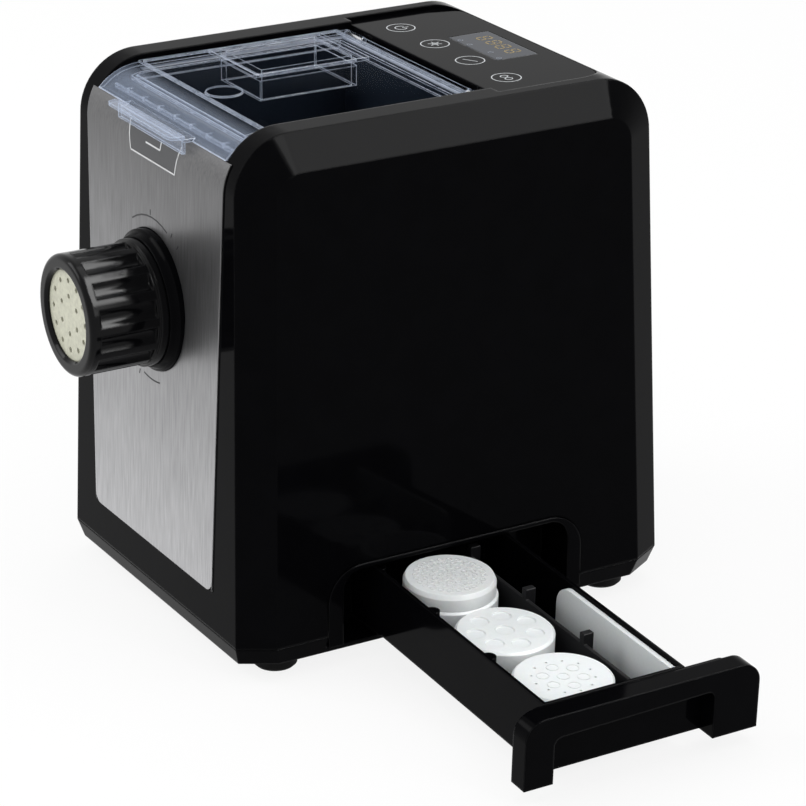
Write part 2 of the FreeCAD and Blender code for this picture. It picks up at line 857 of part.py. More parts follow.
def build_nozzle():
    """Extruding barrel, its collar, the fluted locking ring and the die it holds."""
    bore = size("barrel_bore")
    outer = size("barrel_radius")
    barrel = Piece("barrel", at=(0, 0, AXIS))
    flange = outer + WALL
    barrel.revolve("top", loop(
        (bore, BARREL_FRONT),
        (outer, BARREL_FRONT),
        (outer, BOWL_FRONT - WALL),
        (flange, BOWL_FRONT - WALL),
        (flange, BOWL_FRONT),
        (bore, BOWL_FRONT),
    ))
    for turn in (0, 1):
        lug = outer + WALL / 2
        barrel.pad("front", COLLAR_FRONT + WALL, COLLAR_FRONT + WALL * 2,
                   rect(-lug, -outer + WALL / 2, -WALL, WALL) if turn else
                   rect(outer - WALL / 2, lug, -WALL, WALL))
    wide = size("collar_radius")
    front = COLLAR_FRONT
    collar = Piece("nozzle_collar", at=(0, 0, AXIS))
    hole = outer + WALL / 2 + GAP
    collar.revolve("top", loop(
        (outer + GAP, front + WALL * 2 + GAP),
        (hole, front + WALL * 2 + GAP),
        (hole, front),
        (wide - WALL, front),
        (wide - WALL / 2, front + WALL, WALL * 4),
        (wide, -HALF_DEPTH_HIGH - WALL * 2),
        (wide, -HALF_DEPTH_HIGH + WALL),
        (outer + GAP, -HALF_DEPTH_HIGH + WALL),
    ))
    rim = size("ring_radius")
    tip = RING_TIP
    lip = tip + size("ring_lip")
    ring = Piece("locking_ring", at=(0, 0, AXIS))
    inside = size("die_radius") + RUN
    ring.revolve("top", loop(
        (size("ring_mouth"), tip + WALL / 2),
        (size("ring_mouth") + WALL / 2, tip),
        (rim - WALL, tip, WALL),
        (rim, tip + WALL),
        (rim, front - WALL * 1.5),
        (rim + WALL / 2, front - WALL * 1.5),
        (rim + WALL / 2, front - GAP),
        (inside, front - GAP),
        (inside, lip),
        (size("ring_mouth"), lip),
    ))
    flute = size("flute_radius")
    groove = ring.cut("front", tip + WALL * 2, front - WALL * 2,
                      circle(0, rim + flute - size("flute_depth"), flute))
    ring.polar(groove, "Y_Axis", size("flute_count"))
    thick = size("die_thick")
    radius = size("die_radius")
    die = Piece("die_plate", at=(0, 0, AXIS))
    face = lip + RUN
    die.revolve("top", loop(
        (0, face),
        (radius, face),
        (radius, face + thick),
        (0, face + thick),
    ))
    for count, share in ((6, 0.4), (12, 0.74)):
        hole = die.cut("front", face, face + thick, circle(0, radius * share, size("die_hole")))
        die.polar(hole, "Y_Axis", count)


def build_worm():
    """The dough worm: a tapering helical flight swept about a plain core."""
    core = size("worm_core")
    rim = size("worm_radius")
    pitch = size("worm_pitch")
    tip = BARREL_FRONT + WALL
    reach = WORM_REAR - tip
    helix = doc.addObject("Part::Helix", "worm_helix")
    helix.Pitch = pitch.number
    bind(helix, "Pitch", pitch)
    flight_length = BOWL_INSIDE_FRONT + BIG_ROUND - tip
    helix.Height = flight_length.number
    bind(helix, "Height", flight_length)
    helix.Radius = core.number
    bind(helix, "Radius", core)
    drawing = doc.addObject("Sketcher::SketchObject", "worm_flight_section")
    drawing.Placement = FreeCAD.Placement(FreeCAD.Vector(0, 0, 0),
                                          FreeCAD.Rotation(FreeCAD.Vector(1, 0, 0), 90))
    half = size("worm_flight") / 2
    draw(drawing, [loop(
        (core - WALL / 2, -half),
        (rim, -half / 2),
        (rim, half / 2),
        (core - WALL / 2, half),
    )])
    doc.recompute()
    flight = doc.addObject("Part::Sweep", "worm_flight_sweep")
    flight.Sections = [drawing]
    flight.Spine = (helix, ["Edge" + str(number + 1) for number in range(len(helix.Shape.Edges))])
    flight.Solid = True
    flight.Frenet = True
    shaft = doc.addObject("Part::Cylinder", "worm_core_body")
    shaft.Radius = core.number
    bind(shaft, "Radius", core)
    shaft.Height = reach.number
    bind(shaft, "Height", reach)
    whole = doc.addObject("Part::MultiFuse", "worm_blank")
    whole.Shapes = [shaft, flight]
    socket = doc.addObject("Part::Box", "worm_socket")
    tongue = TONGUE + RUN * 2
    for name, length in (("Length", tongue), ("Width", tongue), ("Height", TONGUE_DEEP)):
        setattr(socket, name, length.number)
        bind(socket, name, length)
    socket.Placement = FreeCAD.Placement(
        FreeCAD.Vector(-tongue.number / 2, -tongue.number / 2, (reach - TONGUE_DEEP).number),
        FreeCAD.Rotation())
    bind(socket, "Placement.Base.x", -tongue / 2)
    bind(socket, "Placement.Base.y", -tongue / 2)
    bind(socket, "Placement.Base.z", reach - TONGUE_DEEP)
    worm = doc.addObject("Part::Cut", "worm_screw")
    worm.Base = whole
    worm.Tool = socket
    worm.Label = "worm_screw"
    worm.Placement = FreeCAD.Placement(FreeCAD.Vector(0, tip.number, AXIS.number),
                                       FreeCAD.Rotation(FreeCAD.Vector(1, 0, 0), -90))
    bind(worm, "Placement.Base.y", tip)
    bind(worm, "Placement.Base.z", AXIS)
    doc.recompute()
    pieces.append(worm)


TONGUE = size("worm_core")
TONGUE_DEEP = size("worm_core") * 1.5
WORM_REAR = size("bowl_rear") - WALL * 5


def build_paddle():
    """Mixing paddle: a hub on the worm's core, two arms and the bars that sweep the bowl."""
    piece = Piece("mixing_paddle", at=(0, 0, AXIS))
    rear = WORM_REAR - GAP
    front = BOWL_INSIDE_FRONT + BIG_ROUND + size("worm_pitch") / 3
    hub = size("paddle_hub")
    bore = size("worm_core") + RUN
    piece.revolve("top", loop((bore, front), (hub, front), (hub, rear), (bore, rear)))
    reach = PADDLE_REACH
    arm = size("worm_flight") * 2
    bar = (rear - front) * 0.55
    for side, start in ((-1, front + WALL), (1, rear - WALL - arm)):
        root_x = (hub - WALL) * side
        tip_x = reach * side
        piece.pad("front", start, start + arm, rect(root_x, tip_x, -WALL, WALL))
        low = start if side < 0 else start + arm - bar
        piece.pad("front", low, low + bar, rect(tip_x - arm * side, tip_x, -WALL, WALL))


def build_drive_shaft():
    """Output shaft with a square tongue that turns the worm."""
    piece = Piece("drive_shaft", at=(0, 0, AXIS))
    front = WORM_REAR + RUN
    rear = size("motor_plane") + size("gear_plate")
    piece.revolve("top", loop((0, front), (SHAFT, front), (SHAFT, rear), (0, rear)))
    half = TONGUE / 2
    root_half = half * 1.0
    piece.pad("front", WORM_REAR - TONGUE_DEEP + GAP, front + WALL,
              rect(-root_half, root_half, -root_half, root_half))


def gear_solid(module, teeth, face, bore, phase):
    """A spur gear about Z with involute flanks, a bore and a first tooth at the phase."""
    pressure = math.radians(size("pressure_angle").number)
    pitch_radius = module * teeth / 2
    base_radius = pitch_radius * math.cos(pressure)
    tip_radius = pitch_radius + module * TOOTH_TOP
    foot_radius = pitch_radius - module * TOOTH_ROOT
    half_pitch = math.pi / (2 * teeth) - size("backlash").number / (4 * pitch_radius)

    def involute(angle):
        return math.tan(angle) - angle

    def half_angle(radius):
        if radius <= base_radius:
            return half_pitch + involute(pressure)
        return half_pitch + involute(pressure) - involute(math.acos(base_radius / radius))

    radii = [foot_radius, max(base_radius, foot_radius + module / 4), pitch_radius, tip_radius]
    corners = []
    for tooth in range(int(teeth)):
        middle = phase + tooth * 2 * math.pi / teeth
        flank = [(radius, half_angle(radius)) for radius in radii]
        outline = [(radius, -spread) for radius, spread in flank]
        outline += [(radius, spread) for radius, spread in reversed(flank)]
        for radius, spread in outline:
            angle = middle + spread
            corners.append(FreeCAD.Vector(radius * math.cos(angle), radius * math.sin(angle), 0))
    corners.append(corners[0])
    blank = Part.Face(Part.makePolygon(corners)).extrude(FreeCAD.Vector(0, 0, face))
    return blank.cut(Part.makeCylinder(bore, face))


TOOTH_TOP = 0.9
TOOTH_ROOT = 1.15


def gear_feature(label, solid, across, level, up):
    """Put a gear made about Z on a shaft that runs along Y. Its X stays across."""
    feature = doc.addObject("Part::Feature", label)
    feature.Label = label
    feature.Shape = solid
    feature.Placement = FreeCAD.Placement(
        FreeCAD.Vector(across.number, level.number, up.number),
        FreeCAD.Rotation(FreeCAD.Vector(1, 0, 0), -90))
    for axis, length in (("x", across), ("y", level), ("z", up)):
        bind(feature, "Placement.Base." + axis, length)
    pieces.append(feature)


SLOW_GAP = size("slow_module") * (size("slow_pinion_teeth") + size("slow_wheel_teeth")) / 2
FAST_GAP = size("fast_module") * (size("fast_pinion_teeth") + size("fast_wheel_teeth")) / 2
LAY_X = SLOW_GAP * sine(size("slow_angle"))
LAY_Z = AXIS - SLOW_GAP * cosine(size("slow_angle"))
MOTOR_X = LAY_X + FAST_GAP * sine(size("fast_angle"))
MOTOR_Z = LAY_Z - FAST_GAP * cosine(size("fast_angle"))
LAY_SHAFT = SHAFT - WALL / 2
PLATE_FRONT = BOWL_REAR + GAP


def toward(from_x, from_z, to_x, to_z):
    """Direction from one shaft to another, in the gear's own turning sense about Z."""
    return math.atan2(-(to_z - from_z).number, (to_x - from_x).number)


def build_gears():
    """Two-stage train: motor pinion, layshaft cluster and the slow output wheel."""
    slow_module = size("slow_module").number
    fast_module = size("fast_module").number
    slow_face = size("slow_face").number
    fast_face = size("fast_face").number
    wheel_teeth = size("slow_wheel_teeth").number
    cluster_teeth = size("fast_wheel_teeth").number
    run = RUN.number
    to_lay = toward(dim(0), AXIS, LAY_X, LAY_Z)
    to_output = toward(LAY_X, LAY_Z, dim(0), AXIS)
    to_motor = toward(LAY_X, LAY_Z, MOTOR_X, MOTOR_Z)
    from_motor = toward(MOTOR_X, MOTOR_Z, LAY_X, LAY_Z)
    wheel = gear_solid(slow_module, wheel_teeth, slow_face, SHAFT.number + run,
                       to_lay + math.pi / wheel_teeth)
    web_inner = SHAFT.number * 2.2
    web_outer = slow_module * wheel_teeth / 2 - slow_module * 3
    recess = Part.makeCylinder(web_outer, slow_face / 3).cut(Part.makeCylinder(web_inner, slow_face / 3))
    wheel = wheel.cut(recess)
    gear_feature("output_wheel", wheel, dim(0), size("slow_plane"), AXIS)
    cluster = gear_solid(fast_module, cluster_teeth, fast_face, LAY_SHAFT.number + run,
                         to_motor + math.pi / cluster_teeth)
    pinion_face = (size("fast_plane") - size("slow_plane")).number
    pinion = gear_solid(slow_module, size("slow_pinion_teeth").number, pinion_face,
                        LAY_SHAFT.number + run, to_output)
    cluster.translate(FreeCAD.Vector(0, 0, pinion_face))
    gear_feature("layshaft_cluster", pinion.fuse(cluster).removeSplitter(), LAY_X,
                 size("slow_plane"), LAY_Z)
    motor_pinion = gear_solid(fast_module, size("fast_pinion_teeth").number, fast_face + run * 4,
                              size("motor_shaft_radius").number + run, from_motor)
    gear_feature("motor_pinion", motor_pinion, MOTOR_X, size("fast_plane"), MOTOR_Z)
    shaft = Piece("layshaft", at=(LAY_X, 0, LAY_Z))
    shaft.revolve("top", loop(
        (0, PLATE_FRONT + RUN),
        (LAY_SHAFT, PLATE_FRONT + RUN),
        (LAY_SHAFT, size("motor_plane") + size("gear_plate") - RUN),
        (0, size("motor_plane") + size("gear_plate") - RUN),
    ))


PLATE_HALF = BOWL_OUTER - WALL
PLATE_LOW = size("front_high") + WALL * 5
PLATE_HIGH = AXIS + size("seal_radius") * 2


def build_gear_frame():
    """Two plates on four pillars that carry the shafts, with a bush at every shaft."""
    thick = size("gear_plate")
    bush_out = size("bush_wall")
    rear = size("motor_plane")
    outline = rounded(-PLATE_HALF, PLATE_HALF, PLATE_LOW, PLATE_HIGH, bush_out * 4)
    corner_x = PLATE_HALF - bush_out * 2
    corners = [(corner_x * side, level) for side in (-1, 1)
               for level in (PLATE_LOW + bush_out * 2, PLATE_HIGH - bush_out * 2)]
    shafts = ((dim(0), AXIS, SHAFT), (LAY_X, LAY_Z, LAY_SHAFT))
    plates = (("gear_plate_front", PLATE_FRONT), ("gear_plate_rear", rear))
    for name, low in plates:
        plate = Piece(name)
        plate.pad("front", low, low + thick, outline)
        for across, up, radius in shafts:
            plate.cut("front", low, low + thick, circle(across, up, radius + RUN + bush_out))
        if name == "gear_plate_rear":
            plate.cut("front", low, low + thick, circle(MOTOR_X, MOTOR_Z, bush_out * 3))
        for place in corners:
            plate.cut("front", low, low + thick, circle(*place, SCREW_RADIUS + RUN))
    pillars = Piece("gear_pillars")
    for place in corners:
        pillars.pad("front", PLATE_FRONT + thick, rear, circle(*place, bush_out * 1.3))
        pillars.pad("front", rear, rear + thick + WALL, circle(*place, SCREW_RADIUS))
    bushes = Piece("shaft_bushes")
    for name, low in plates:
        for across, up, radius in shafts:
            bushes.pad("front", low, low + thick,
                       circle(across, up, radius + bush_out),
                       circle(across, up, radius + RUN))


def build_motor():
    """Motor behind the rear plate: can, stator, rotor on its shaft, and a cooling fan."""
    front = size("motor_plane") + size("gear_plate")
    rear = front + size("motor_length")
    outer = size("motor_radius")
    wall = WALL * 0.7
    spindle = size("motor_shaft_radius")
    can = Piece("motor_can", at=(MOTOR_X, 0, MOTOR_Z))
    can.revolve("top", loop(
        (spindle + RUN, front),
        (outer, front),
        (outer, rear - WALL, WALL),
        (outer - WALL, rear),
        (spindle + RUN, rear),
        (spindle + RUN, rear - wall),
        (outer - wall, rear - wall - WALL),
        (outer - wall, front + wall),
        (spindle + RUN, front + wall),
    ))
    stator = Piece("motor_stator", at=(MOTOR_X, 0, MOTOR_Z))
    core_low = front + WALL * 3
    core_high = rear - WALL * 4
    gap_radius = outer * 0.62
    stator.revolve("top", rect(gap_radius, outer - wall - RUN, core_low, core_high))
    rotor = Piece("motor_rotor", at=(MOTOR_X, 0, MOTOR_Z))
    fan_front = rear + GAP * 2
    fan_rear = fan_front + WALL * 2
    core = gap_radius - GAP * 2
    rotor.revolve("top", loop(
        (0, size("fast_plane")),
        (spindle, size("fast_plane")),
        (spindle, core_low),
        (core, core_low),
        (core, core_high),
        (spindle, core_high),
        (spindle, fan_rear + WALL),
        (0, fan_rear + WALL),
    ))
    fan = Piece("cooling_fan", at=(MOTOR_X, 0, MOTOR_Z))
    hub = outer * 0.3
    fan.revolve("top", loop((spindle + RUN, fan_front), (hub, fan_front), (hub, fan_rear),
                            (spindle + RUN, fan_rear)))
    blade = fan.pad("front", fan_front, fan_rear, rect(hub - WALL / 2, outer * 0.9, -WALL / 4, WALL / 4))
    fan.polar(blade, "Y_Axis", FAN_BLADES)


FAN_BLADES = 9


def build_power_board():
    """Upright supply board on the gear plates' edges, with its largest components."""
    piece = Piece("power_board")
    left = PLATE_HALF
    board = size("board_thick")
    low, high = PLATE_LOW + WALL * 5, PLATE_HIGH - WALL * 5
    front, rear = PLATE_FRONT, size("deck_rear")
    piece.pad("side", left, left + board, rect(front, rear, low, high))
    tall = WALL * 5
    piece.pad("side", left + board, left + board + tall, rect(rear - tall * 2, rear - WALL, low + WALL, low + tall * 2))
    for step in range(3):
        piece.pad("side", left + board, left + board + tall,
                  circle(front + tall, low + tall * (step + 1) * 1.3, WALL * 2))


def build_gland():
    """Moulded lead inlet in the rear wall."""
    piece = Piece("lead_inlet", at=(GLAND_X, 0, GLAND_Z))
    face = size("body_depth") / 2 - LEAN * (GLAND_Z - MIDDLE)
    bore = GLAND_RADIUS / 2
    piece.revolve("top", loop(
        (bore, face - WALL * 3),
        (GLAND_RADIUS, face - WALL * 3),
        (GLAND_RADIUS, face + GAP * 2),
        (GLAND_RADIUS + WALL / 2, face + GAP * 2),
        (GLAND_RADIUS, face + WALL),
        (bore, face + WALL),
    ))


def build_lid():
    """Clear lid: a plate that rolls over the front corner, a filling hopper and a lip."""
    top = size("lid_top")
    wall = size("lid_wall")
    under = LID_UNDER
    apron_y = APRON_Y
    bend_y = BEND_Y
    bend_z = top - BIG_ROUND
    inner = BIG_ROUND - wall
    inner_run = root(inner * inner - (APRON_END - bend_z) * (APRON_END - bend_z))
    lid = Piece("lid")
    lid.pad("side", -LID_HALF, LID_HALF, loop(
        (HINGE_Y, under),
        (HINGE_Y, top),
        (bend_y, top, BIG_ROUND),
        (apron_y, APRON_END),
        (bend_y - inner_run, APRON_END, -inner),
        (bend_y, under),
    ))
    # Knuckles along the rear edge, round the hinge line
    knuckle_in = LID_HALF - size("hinge_pin_length") * 2
    for side in (-1, 1):
        low, high = (knuckle_in, LID_HALF) if side > 0 else (-LID_HALF, -knuckle_in)
        lid.pad("side", low, high, circle(HINGE_Y, HINGE_LEVEL, KNUCKLE))
        lid.cut("side", low, high, circle(HINGE_Y, HINGE_LEVEL, PIN + RUN))
    # The lip that hangs into the bowl
    lip_x = BOWL_RADIUS - GAP * 2
    lip_front = BOWL_INSIDE_FRONT + GAP * 2
    lip_rear = size("bowl_rear") - WALL
    lip_wall = size("hopper_wall")
    lip_low = under - size("lid_lip")
    lid.pad("top", lip_low, under + RUN,
            rect(-lip_x, lip_x, lip_front, lip_rear),
            rect(-lip_x + lip_wall, lip_x - lip_wall, lip_front + lip_wall, lip_rear - lip_wall))
    # The tab that laps over the front sheet
    tab = size("lid_tab_width") / 2
    tab_front = apron_y - lip_wall * 2
    tab_root = apron_y + wall
    lid.pad("side", -tab, tab, loop(
        (tab_root, APRON_END),
        (tab_root, APRON_END + lip_wall),
        (tab_front - lip_wall, APRON_END + lip_wall),
        (tab_front - lip_wall, APRON_END - lip_wall * 3),
        (tab_front, APRON_END - lip_wall * 3),
        (tab_front, APRON_END),
    ))
    # A raised rim along the three edges of the flat, and a round bump for the finger
    rib = size("rim_rib")
    rib_rear = HINGE_Y - KNUCKLE - rib * 4
    lid.pad("top", top - rib, top + rib,
            rect(-LID_HALF, LID_HALF, bend_y, rib_rear),
            rect(-LID_HALF + lip_wall, LID_HALF - lip_wall, bend_y + lip_wall, rib_rear - lip_wall))
    bump = size("bump_radius")
    lid.pad("top", top - rib, top + rib, circle(0, bend_y + bump + lip_wall * 2, bump))
    # The hopper's funnel, the opening through it, and its raised rim
    middle_x, middle_y = size("hopper_x"), size("hopper_y")
    half_x, half_y = size("hopper_width") / 2, size("hopper_depth") / 2
    rim = top + size("hopper_rim")
    drop = top - size("hopper_drop")
    hopper_wall = size("hopper_wall")
    lid.pad("top", drop, rim, rect(middle_x - half_x, middle_x + half_x,
                                   middle_y - half_y, middle_y + half_y))
    flange = size("hopper_flange")
    lid.pad("top", rim - hopper_wall, rim, rect(
        middle_x - half_x - flange,
        middle_x + half_x + flange,
        middle_y - half_y - flange,
        middle_y + half_y + flange,
    ))
    lid.cut("top", drop, rim, rect(
        middle_x - half_x + hopper_wall,
        middle_x + half_x - hopper_wall,
        middle_y - half_y + hopper_wall,
        middle_y + half_y - hopper_wall,
    ))
    seal = Piece("lid_seal")
    seal_in = lip_wall
    low = under - size("seal_thick")
    seal.pad("top", low, under, rect(-LID_HALF + seal_in, LID_HALF - seal_in, bend_y, BOWL_REAR))
    seal.cut("top", low, under, rect(-BOWL_OUTER, BOWL_OUTER, bend_y, size("bowl_rear")))
    pins = Piece("hinge_pins")
    reach = LID_HALF + size("hinge_pin_length")
    for side in (-1, 1):
        low, high = (knuckle_in, reach - GAP) if side > 0 else (-reach + GAP, -knuckle_in)
        pins.pad("side", low, high, circle(HINGE_Y, HINGE_LEVEL, PIN))
    switch = Piece("lid_switch")
    ceiling = TOP - size("crown_depth") - GAP
    switch.pad("top", ceiling - WALL * 3, ceiling,
               rect(BOWL_OUTER + WALL / 2, BOWL_OUTER + WALL * 2, size("hopper_y"), BOWL_REAR))


def drawer_piece(label, along=0, across=0):
    """A piece on the drawer's own axes, which slope down a little from the mouth."""
    tilt = size("drawer_tilt")
    along = dim(along)
    return Piece(label, at=(size("drawer_face_x") + along * cosine(tilt), dim(across), -along * sine(tilt)),
                 turn_axis=(0, 1, 0), turn=tilt)


FRONT_X = size("drawer_reach")
INNER_FRONT_X = FRONT_X - size("front_thick")
TRAY_END_X = INNER_FRONT_X - size("inner_front_thick")
TRAY_START_X = TRAY_END_X - size("tray_length")
TRAY_TOP = size("tray_floor_level") + size("tray_height")
TRAY_INSIDE = size("tray_floor_level") + size("tray_wall")
TRAVEL = FRONT_X - WALL / 2


def build_bay():
    """The drawer's mouth frame and the sloping channel that it runs in."""
    frame = Piece("bay_frame")
    outer_face = half_width(FLOOR_TOP) - GAP
    back = MOUTH_BACK
    inside = back + size("frame_back")
    high = size("front_high")
    middle = size("drawer_mid")
    half_low, half_high = size("front_half_low"), size("front_half_high")
    band = size("frame_band")
    low = FLOOR_TOP + GAP
    frame.pad("side", back, outer_face, arch(low, high + WALL, half_low + band, half_high, middle))
    frame.cut("side", inside, outer_face,
              arch(low, high + GAP * 2, half_low + GAP * 2, half_high + GAP, middle))
    near, far = size("tray_near"), size("tray_far")
    wall = size("bay_wall")
    sill = size("tray_floor_level") - GAP * 2
    frame.pad("side", back, outer_face, rect(near, far, low, sill))
    frame.cut("side", back, inside, rect(near - GAP * 3, far + GAP * 3, sill, TRAY_TOP + WALL / 2))
    bay = drawer_piece("drawer_bay")
    start = TRAY_START_X - TRAVEL - WALL
    end = back - size("drawer_face_x") - TRAY_TOP * sine(size("drawer_tilt")) - WALL / 6
    floor_top = size("tray_floor_level") - GAP
    roof = TRAY_TOP + WALL / 3
    side_gap = GAP * 2
    bay.pad("side", start - wall, end,
            rect(near - side_gap - wall, far + side_gap + wall, floor_top - wall, roof + wall))
    bay.cut("side", start, end, rect(near - side_gap, far + side_gap, floor_top, roof))
    leg = size("foot_radius")
    rise = -start * sine(size("drawer_tilt"))
    for place in (near + leg, far - leg):
        bay.pad("top", FLOOR_TOP + GAP * 2 - rise, floor_top - wall, circle(start + leg / 2, place, leg / 3))


def build_drawer():
    """Accessory drawer: open tray, stepped front with a finger recess, and a tool rail."""
    near, far = size("tray_near"), size("tray_far")
    wall = size("tray_wall")
    floor = size("tray_floor_level")
    tray = drawer_piece("drawer_tray")
    tray.pad("top", floor, TRAY_TOP, rect(TRAY_START_X, TRAY_END_X, near, far))
    tray.cut("top", TRAY_INSIDE, TRAY_TOP,
             rect(TRAY_START_X + wall, TRAY_END_X - wall, near + wall, far - wall))
    for step in range(3):
        along = size("disc_first") + size("disc_step") * (step - 0.5)
        tray.pad("top", TRAY_INSIDE - wall / 2, TRAY_TOP - wall, circle(along, near + wall * 2, wall * 2))
    middle = size("drawer_mid")
    low, high = size("front_low"), size("front_high")
    half_low, half_high = size("front_half_low"), size("front_half_high")
    inner = drawer_piece("drawer_inner_front")
    inset = size("frame_band")
    inner.pad("side", TRAY_END_X, INNER_FRONT_X,
              arch(low, high - wall, half_low - inset, half_high - inset / 2, middle))
    catch_half = inset / 2
    inner.pad("side", TRAY_END_X + wall, INNER_FRONT_X,
              rect(middle - catch_half, middle + catch_half, high - wall * 2, high - wall / 4))
    front = drawer_piece("drawer_front")
    front.pad("side", INNER_FRONT_X, FRONT_X, arch(low, high, half_low, half_high, middle))
    grip_near = middle - half_low + inset * 1.8
    grip_far = middle + half_low - inset * 2.9
    front.cut("side", INNER_FRONT_X, FRONT_X, loop(
        (grip_near, low),
        (grip_far, low),
        (grip_far, high - inset * 1.6, inset / 2),
        (grip_far - inset / 2, high - inset * 1.1),
        (grip_near + inset / 2, high - inset * 1.3, inset / 2),
        (grip_near, high - inset * 1.8),
    ))
    rail = drawer_piece("tool_rail")
    rail_y = size("disc_y") + size("disc_radius") + WALL
    rail.pad("top", TRAY_INSIDE, TRAY_TOP - WALL * 3,
             rect(TRAY_START_X + wall + GAP, TRAY_END_X - wall - GAP, rail_y, rail_y + wall))
    for step in range(3):
        along = size("disc_first") + size("disc_step") * (step - 0.5)
        rail.pad("top", TRAY_INSIDE, TRAY_TOP - WALL,
                 rect(along - wall, along + wall, rail_y, rail_y + wall * 3))
    tool = drawer_piece("cleaning_tool")
    tool_far = far - wall - GAP
    tool_start = size("disc_step")
    tool_end = TRAY_END_X - wall * 2
    bend = size("foot_radius")
    tool.pad("front", tool_far - WALL, tool_far, loop(
        (tool_start + bend, TRAY_INSIDE),
        (tool_end, TRAY_INSIDE),
        (tool_end, TRAY_TOP - wall),
        (tool_start + bend, TRAY_TOP - wall, bend),
        (tool_start, TRAY_TOP - wall - bend),
        (tool_start, TRAY_INSIDE + bend, bend),
    ))


def build_spare_discs():
    """Three storage places in the drawer: two dies, and a low die with a washer on top."""
    radius = size("disc_radius")
    height = size("disc_height")
    wall = size("disc_wall")
    floor = TRAY_INSIDE
    names = ("spare_die_rear", "spare_die_middle", "spare_die_front")
    for step, name in enumerate(names):
        die = drawer_piece(name, size("disc_first") + size("disc_step") * step, size("disc_y"))
        top = floor + height - (WALL if step == 0 else 0)
        die.revolve("front", loop(
            (0, top - wall * 2),
            (radius - wall, top - wall * 2),
            (radius - wall, floor),
            (radius, floor),
            (radius, top - wall / 2),
            (radius - wall / 2, top),
            (0, top),
        ))
        if step == 1:
            seat = die.cut("top", top - wall / 3, top, circle(radius * 0.6, 0, radius * 0.19))
            die.polar(seat, "Z_Axis", 7)
            die.cut("top", top - wall / 3, top, circle(0, 0, radius * 0.19))
        if step == 2:
            hole = die.cut("top", top - wall * 2, top, circle(radius * 0.62, 0, size("die_hole") / 2))
            die.polar(hole, "Z_Axis", 12)
    washer = drawer_piece("spare_washer", size("disc_first"), size("disc_y"))
    low = floor + height - WALL
    high = TRAY_TOP - GAP * 2
    washer.revolve("front", loop(
        (0, low),
        (radius - wall / 2, low),
        (radius - wall / 2, high - wall),
        (radius - wall, high),
        (0, high),
    ))


def check_document():
    """Stop on any feature that failed, and on any sub-part without a sound solid."""
    doc.recompute()
    for item in doc.Objects:
        if "Invalid" in item.State or "Error" in item.State:
            raise RuntimeError(item.Label + " failed: " + ", ".join(item.State))
    for item in pieces:
        if item.Shape.isNull() or not item.Shape.isValid() or not item.Shape.Solids:
            raise RuntimeError(item.Label + " has no sound solid")


def write_parts():
    """One STEP file for each sub-part, named by its label."""
    os.makedirs("parts", exist_ok=True)
    for item in pieces:
        item.Shape.exportStep("parts/" + item.Label + ".step")


build_housing()
build_base()
build_feet()
build_base_screws()
build_front_panel()
build_panel()
build_bowl()
build_nozzle()
build_worm()
build_paddle()
build_drive_shaft()
build_gears()
build_gear_frame()
build_motor()
build_power_board()
build_gland()
build_lid()
build_bay()
build_drawer()
build_spare_discs()
check_document()
write_parts()
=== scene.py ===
"""Looks for an electric pasta maker: finishes, printed marks, stage and camera."""

import json
import math

import bmesh
import bpy
from bpy.props import FloatProperty, FloatVectorProperty, IntProperty, PointerProperty
from mathutils import Matrix, Vector

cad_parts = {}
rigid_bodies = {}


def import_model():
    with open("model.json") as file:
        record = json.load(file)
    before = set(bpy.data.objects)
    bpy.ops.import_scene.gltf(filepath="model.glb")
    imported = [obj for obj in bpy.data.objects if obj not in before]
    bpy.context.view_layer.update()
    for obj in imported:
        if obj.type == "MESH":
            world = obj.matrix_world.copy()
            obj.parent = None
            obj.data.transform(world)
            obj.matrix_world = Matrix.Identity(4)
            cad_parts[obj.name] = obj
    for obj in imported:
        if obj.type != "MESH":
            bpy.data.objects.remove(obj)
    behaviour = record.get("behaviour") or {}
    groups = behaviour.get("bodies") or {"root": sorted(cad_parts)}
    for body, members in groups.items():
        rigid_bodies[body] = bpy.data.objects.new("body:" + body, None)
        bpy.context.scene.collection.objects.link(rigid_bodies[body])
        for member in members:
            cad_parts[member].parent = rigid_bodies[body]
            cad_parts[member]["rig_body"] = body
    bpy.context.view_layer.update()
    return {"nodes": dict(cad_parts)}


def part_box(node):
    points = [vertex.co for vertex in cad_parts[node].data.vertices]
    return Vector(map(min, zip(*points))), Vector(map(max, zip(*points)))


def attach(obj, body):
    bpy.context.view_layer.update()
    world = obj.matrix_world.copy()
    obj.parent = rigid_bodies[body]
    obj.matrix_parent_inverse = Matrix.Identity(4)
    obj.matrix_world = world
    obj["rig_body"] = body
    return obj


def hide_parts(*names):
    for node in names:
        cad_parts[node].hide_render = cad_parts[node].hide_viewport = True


bl_info = {
    "name": "Pasta maker looks",
    "version": (1, 0, 0),
    "blender": (4, 5, 0),
    "location": "View3D > Sidebar > Pasta maker",
    "description": "Finishes, printed marks, stage and camera for a pasta maker",
    "category": "Object",
}

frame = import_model()

MM = 0.001
MICRON = 0.000001
SHEET_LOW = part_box("front_panel")[0]
PANEL_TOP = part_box("control_panel")[1].z
WINDOW_LOW, WINDOW_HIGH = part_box("display_window")

# The front sheet leans back to the shoulder and rolls over a round above it
SHOULDER = 266 * MM
ROUND_Y = -93.9 * MM
ROUND_RADIUS = 33.85 * MM
LEAN = 0.0308

# The lid's front roll is made cloudier between these: a painted sheen in the pale tint, in place of the
# roll's reflections.
ROLL_START = -97.0 * MM
ROLL_END = -110.0 * MM


def colour_prop(name, description, default):
    """A colour that a user can change."""
    return FloatVectorProperty(name=name, description=description, subtype="COLOR",
                               size=3, min=0.0, max=1.0, default=default)


def length_prop(name, description, default):
    """A length that a user can change, in metres."""
    return FloatProperty(name=name, description=description, default=default, min=0.0,
                         unit="LENGTH", subtype="DISTANCE")


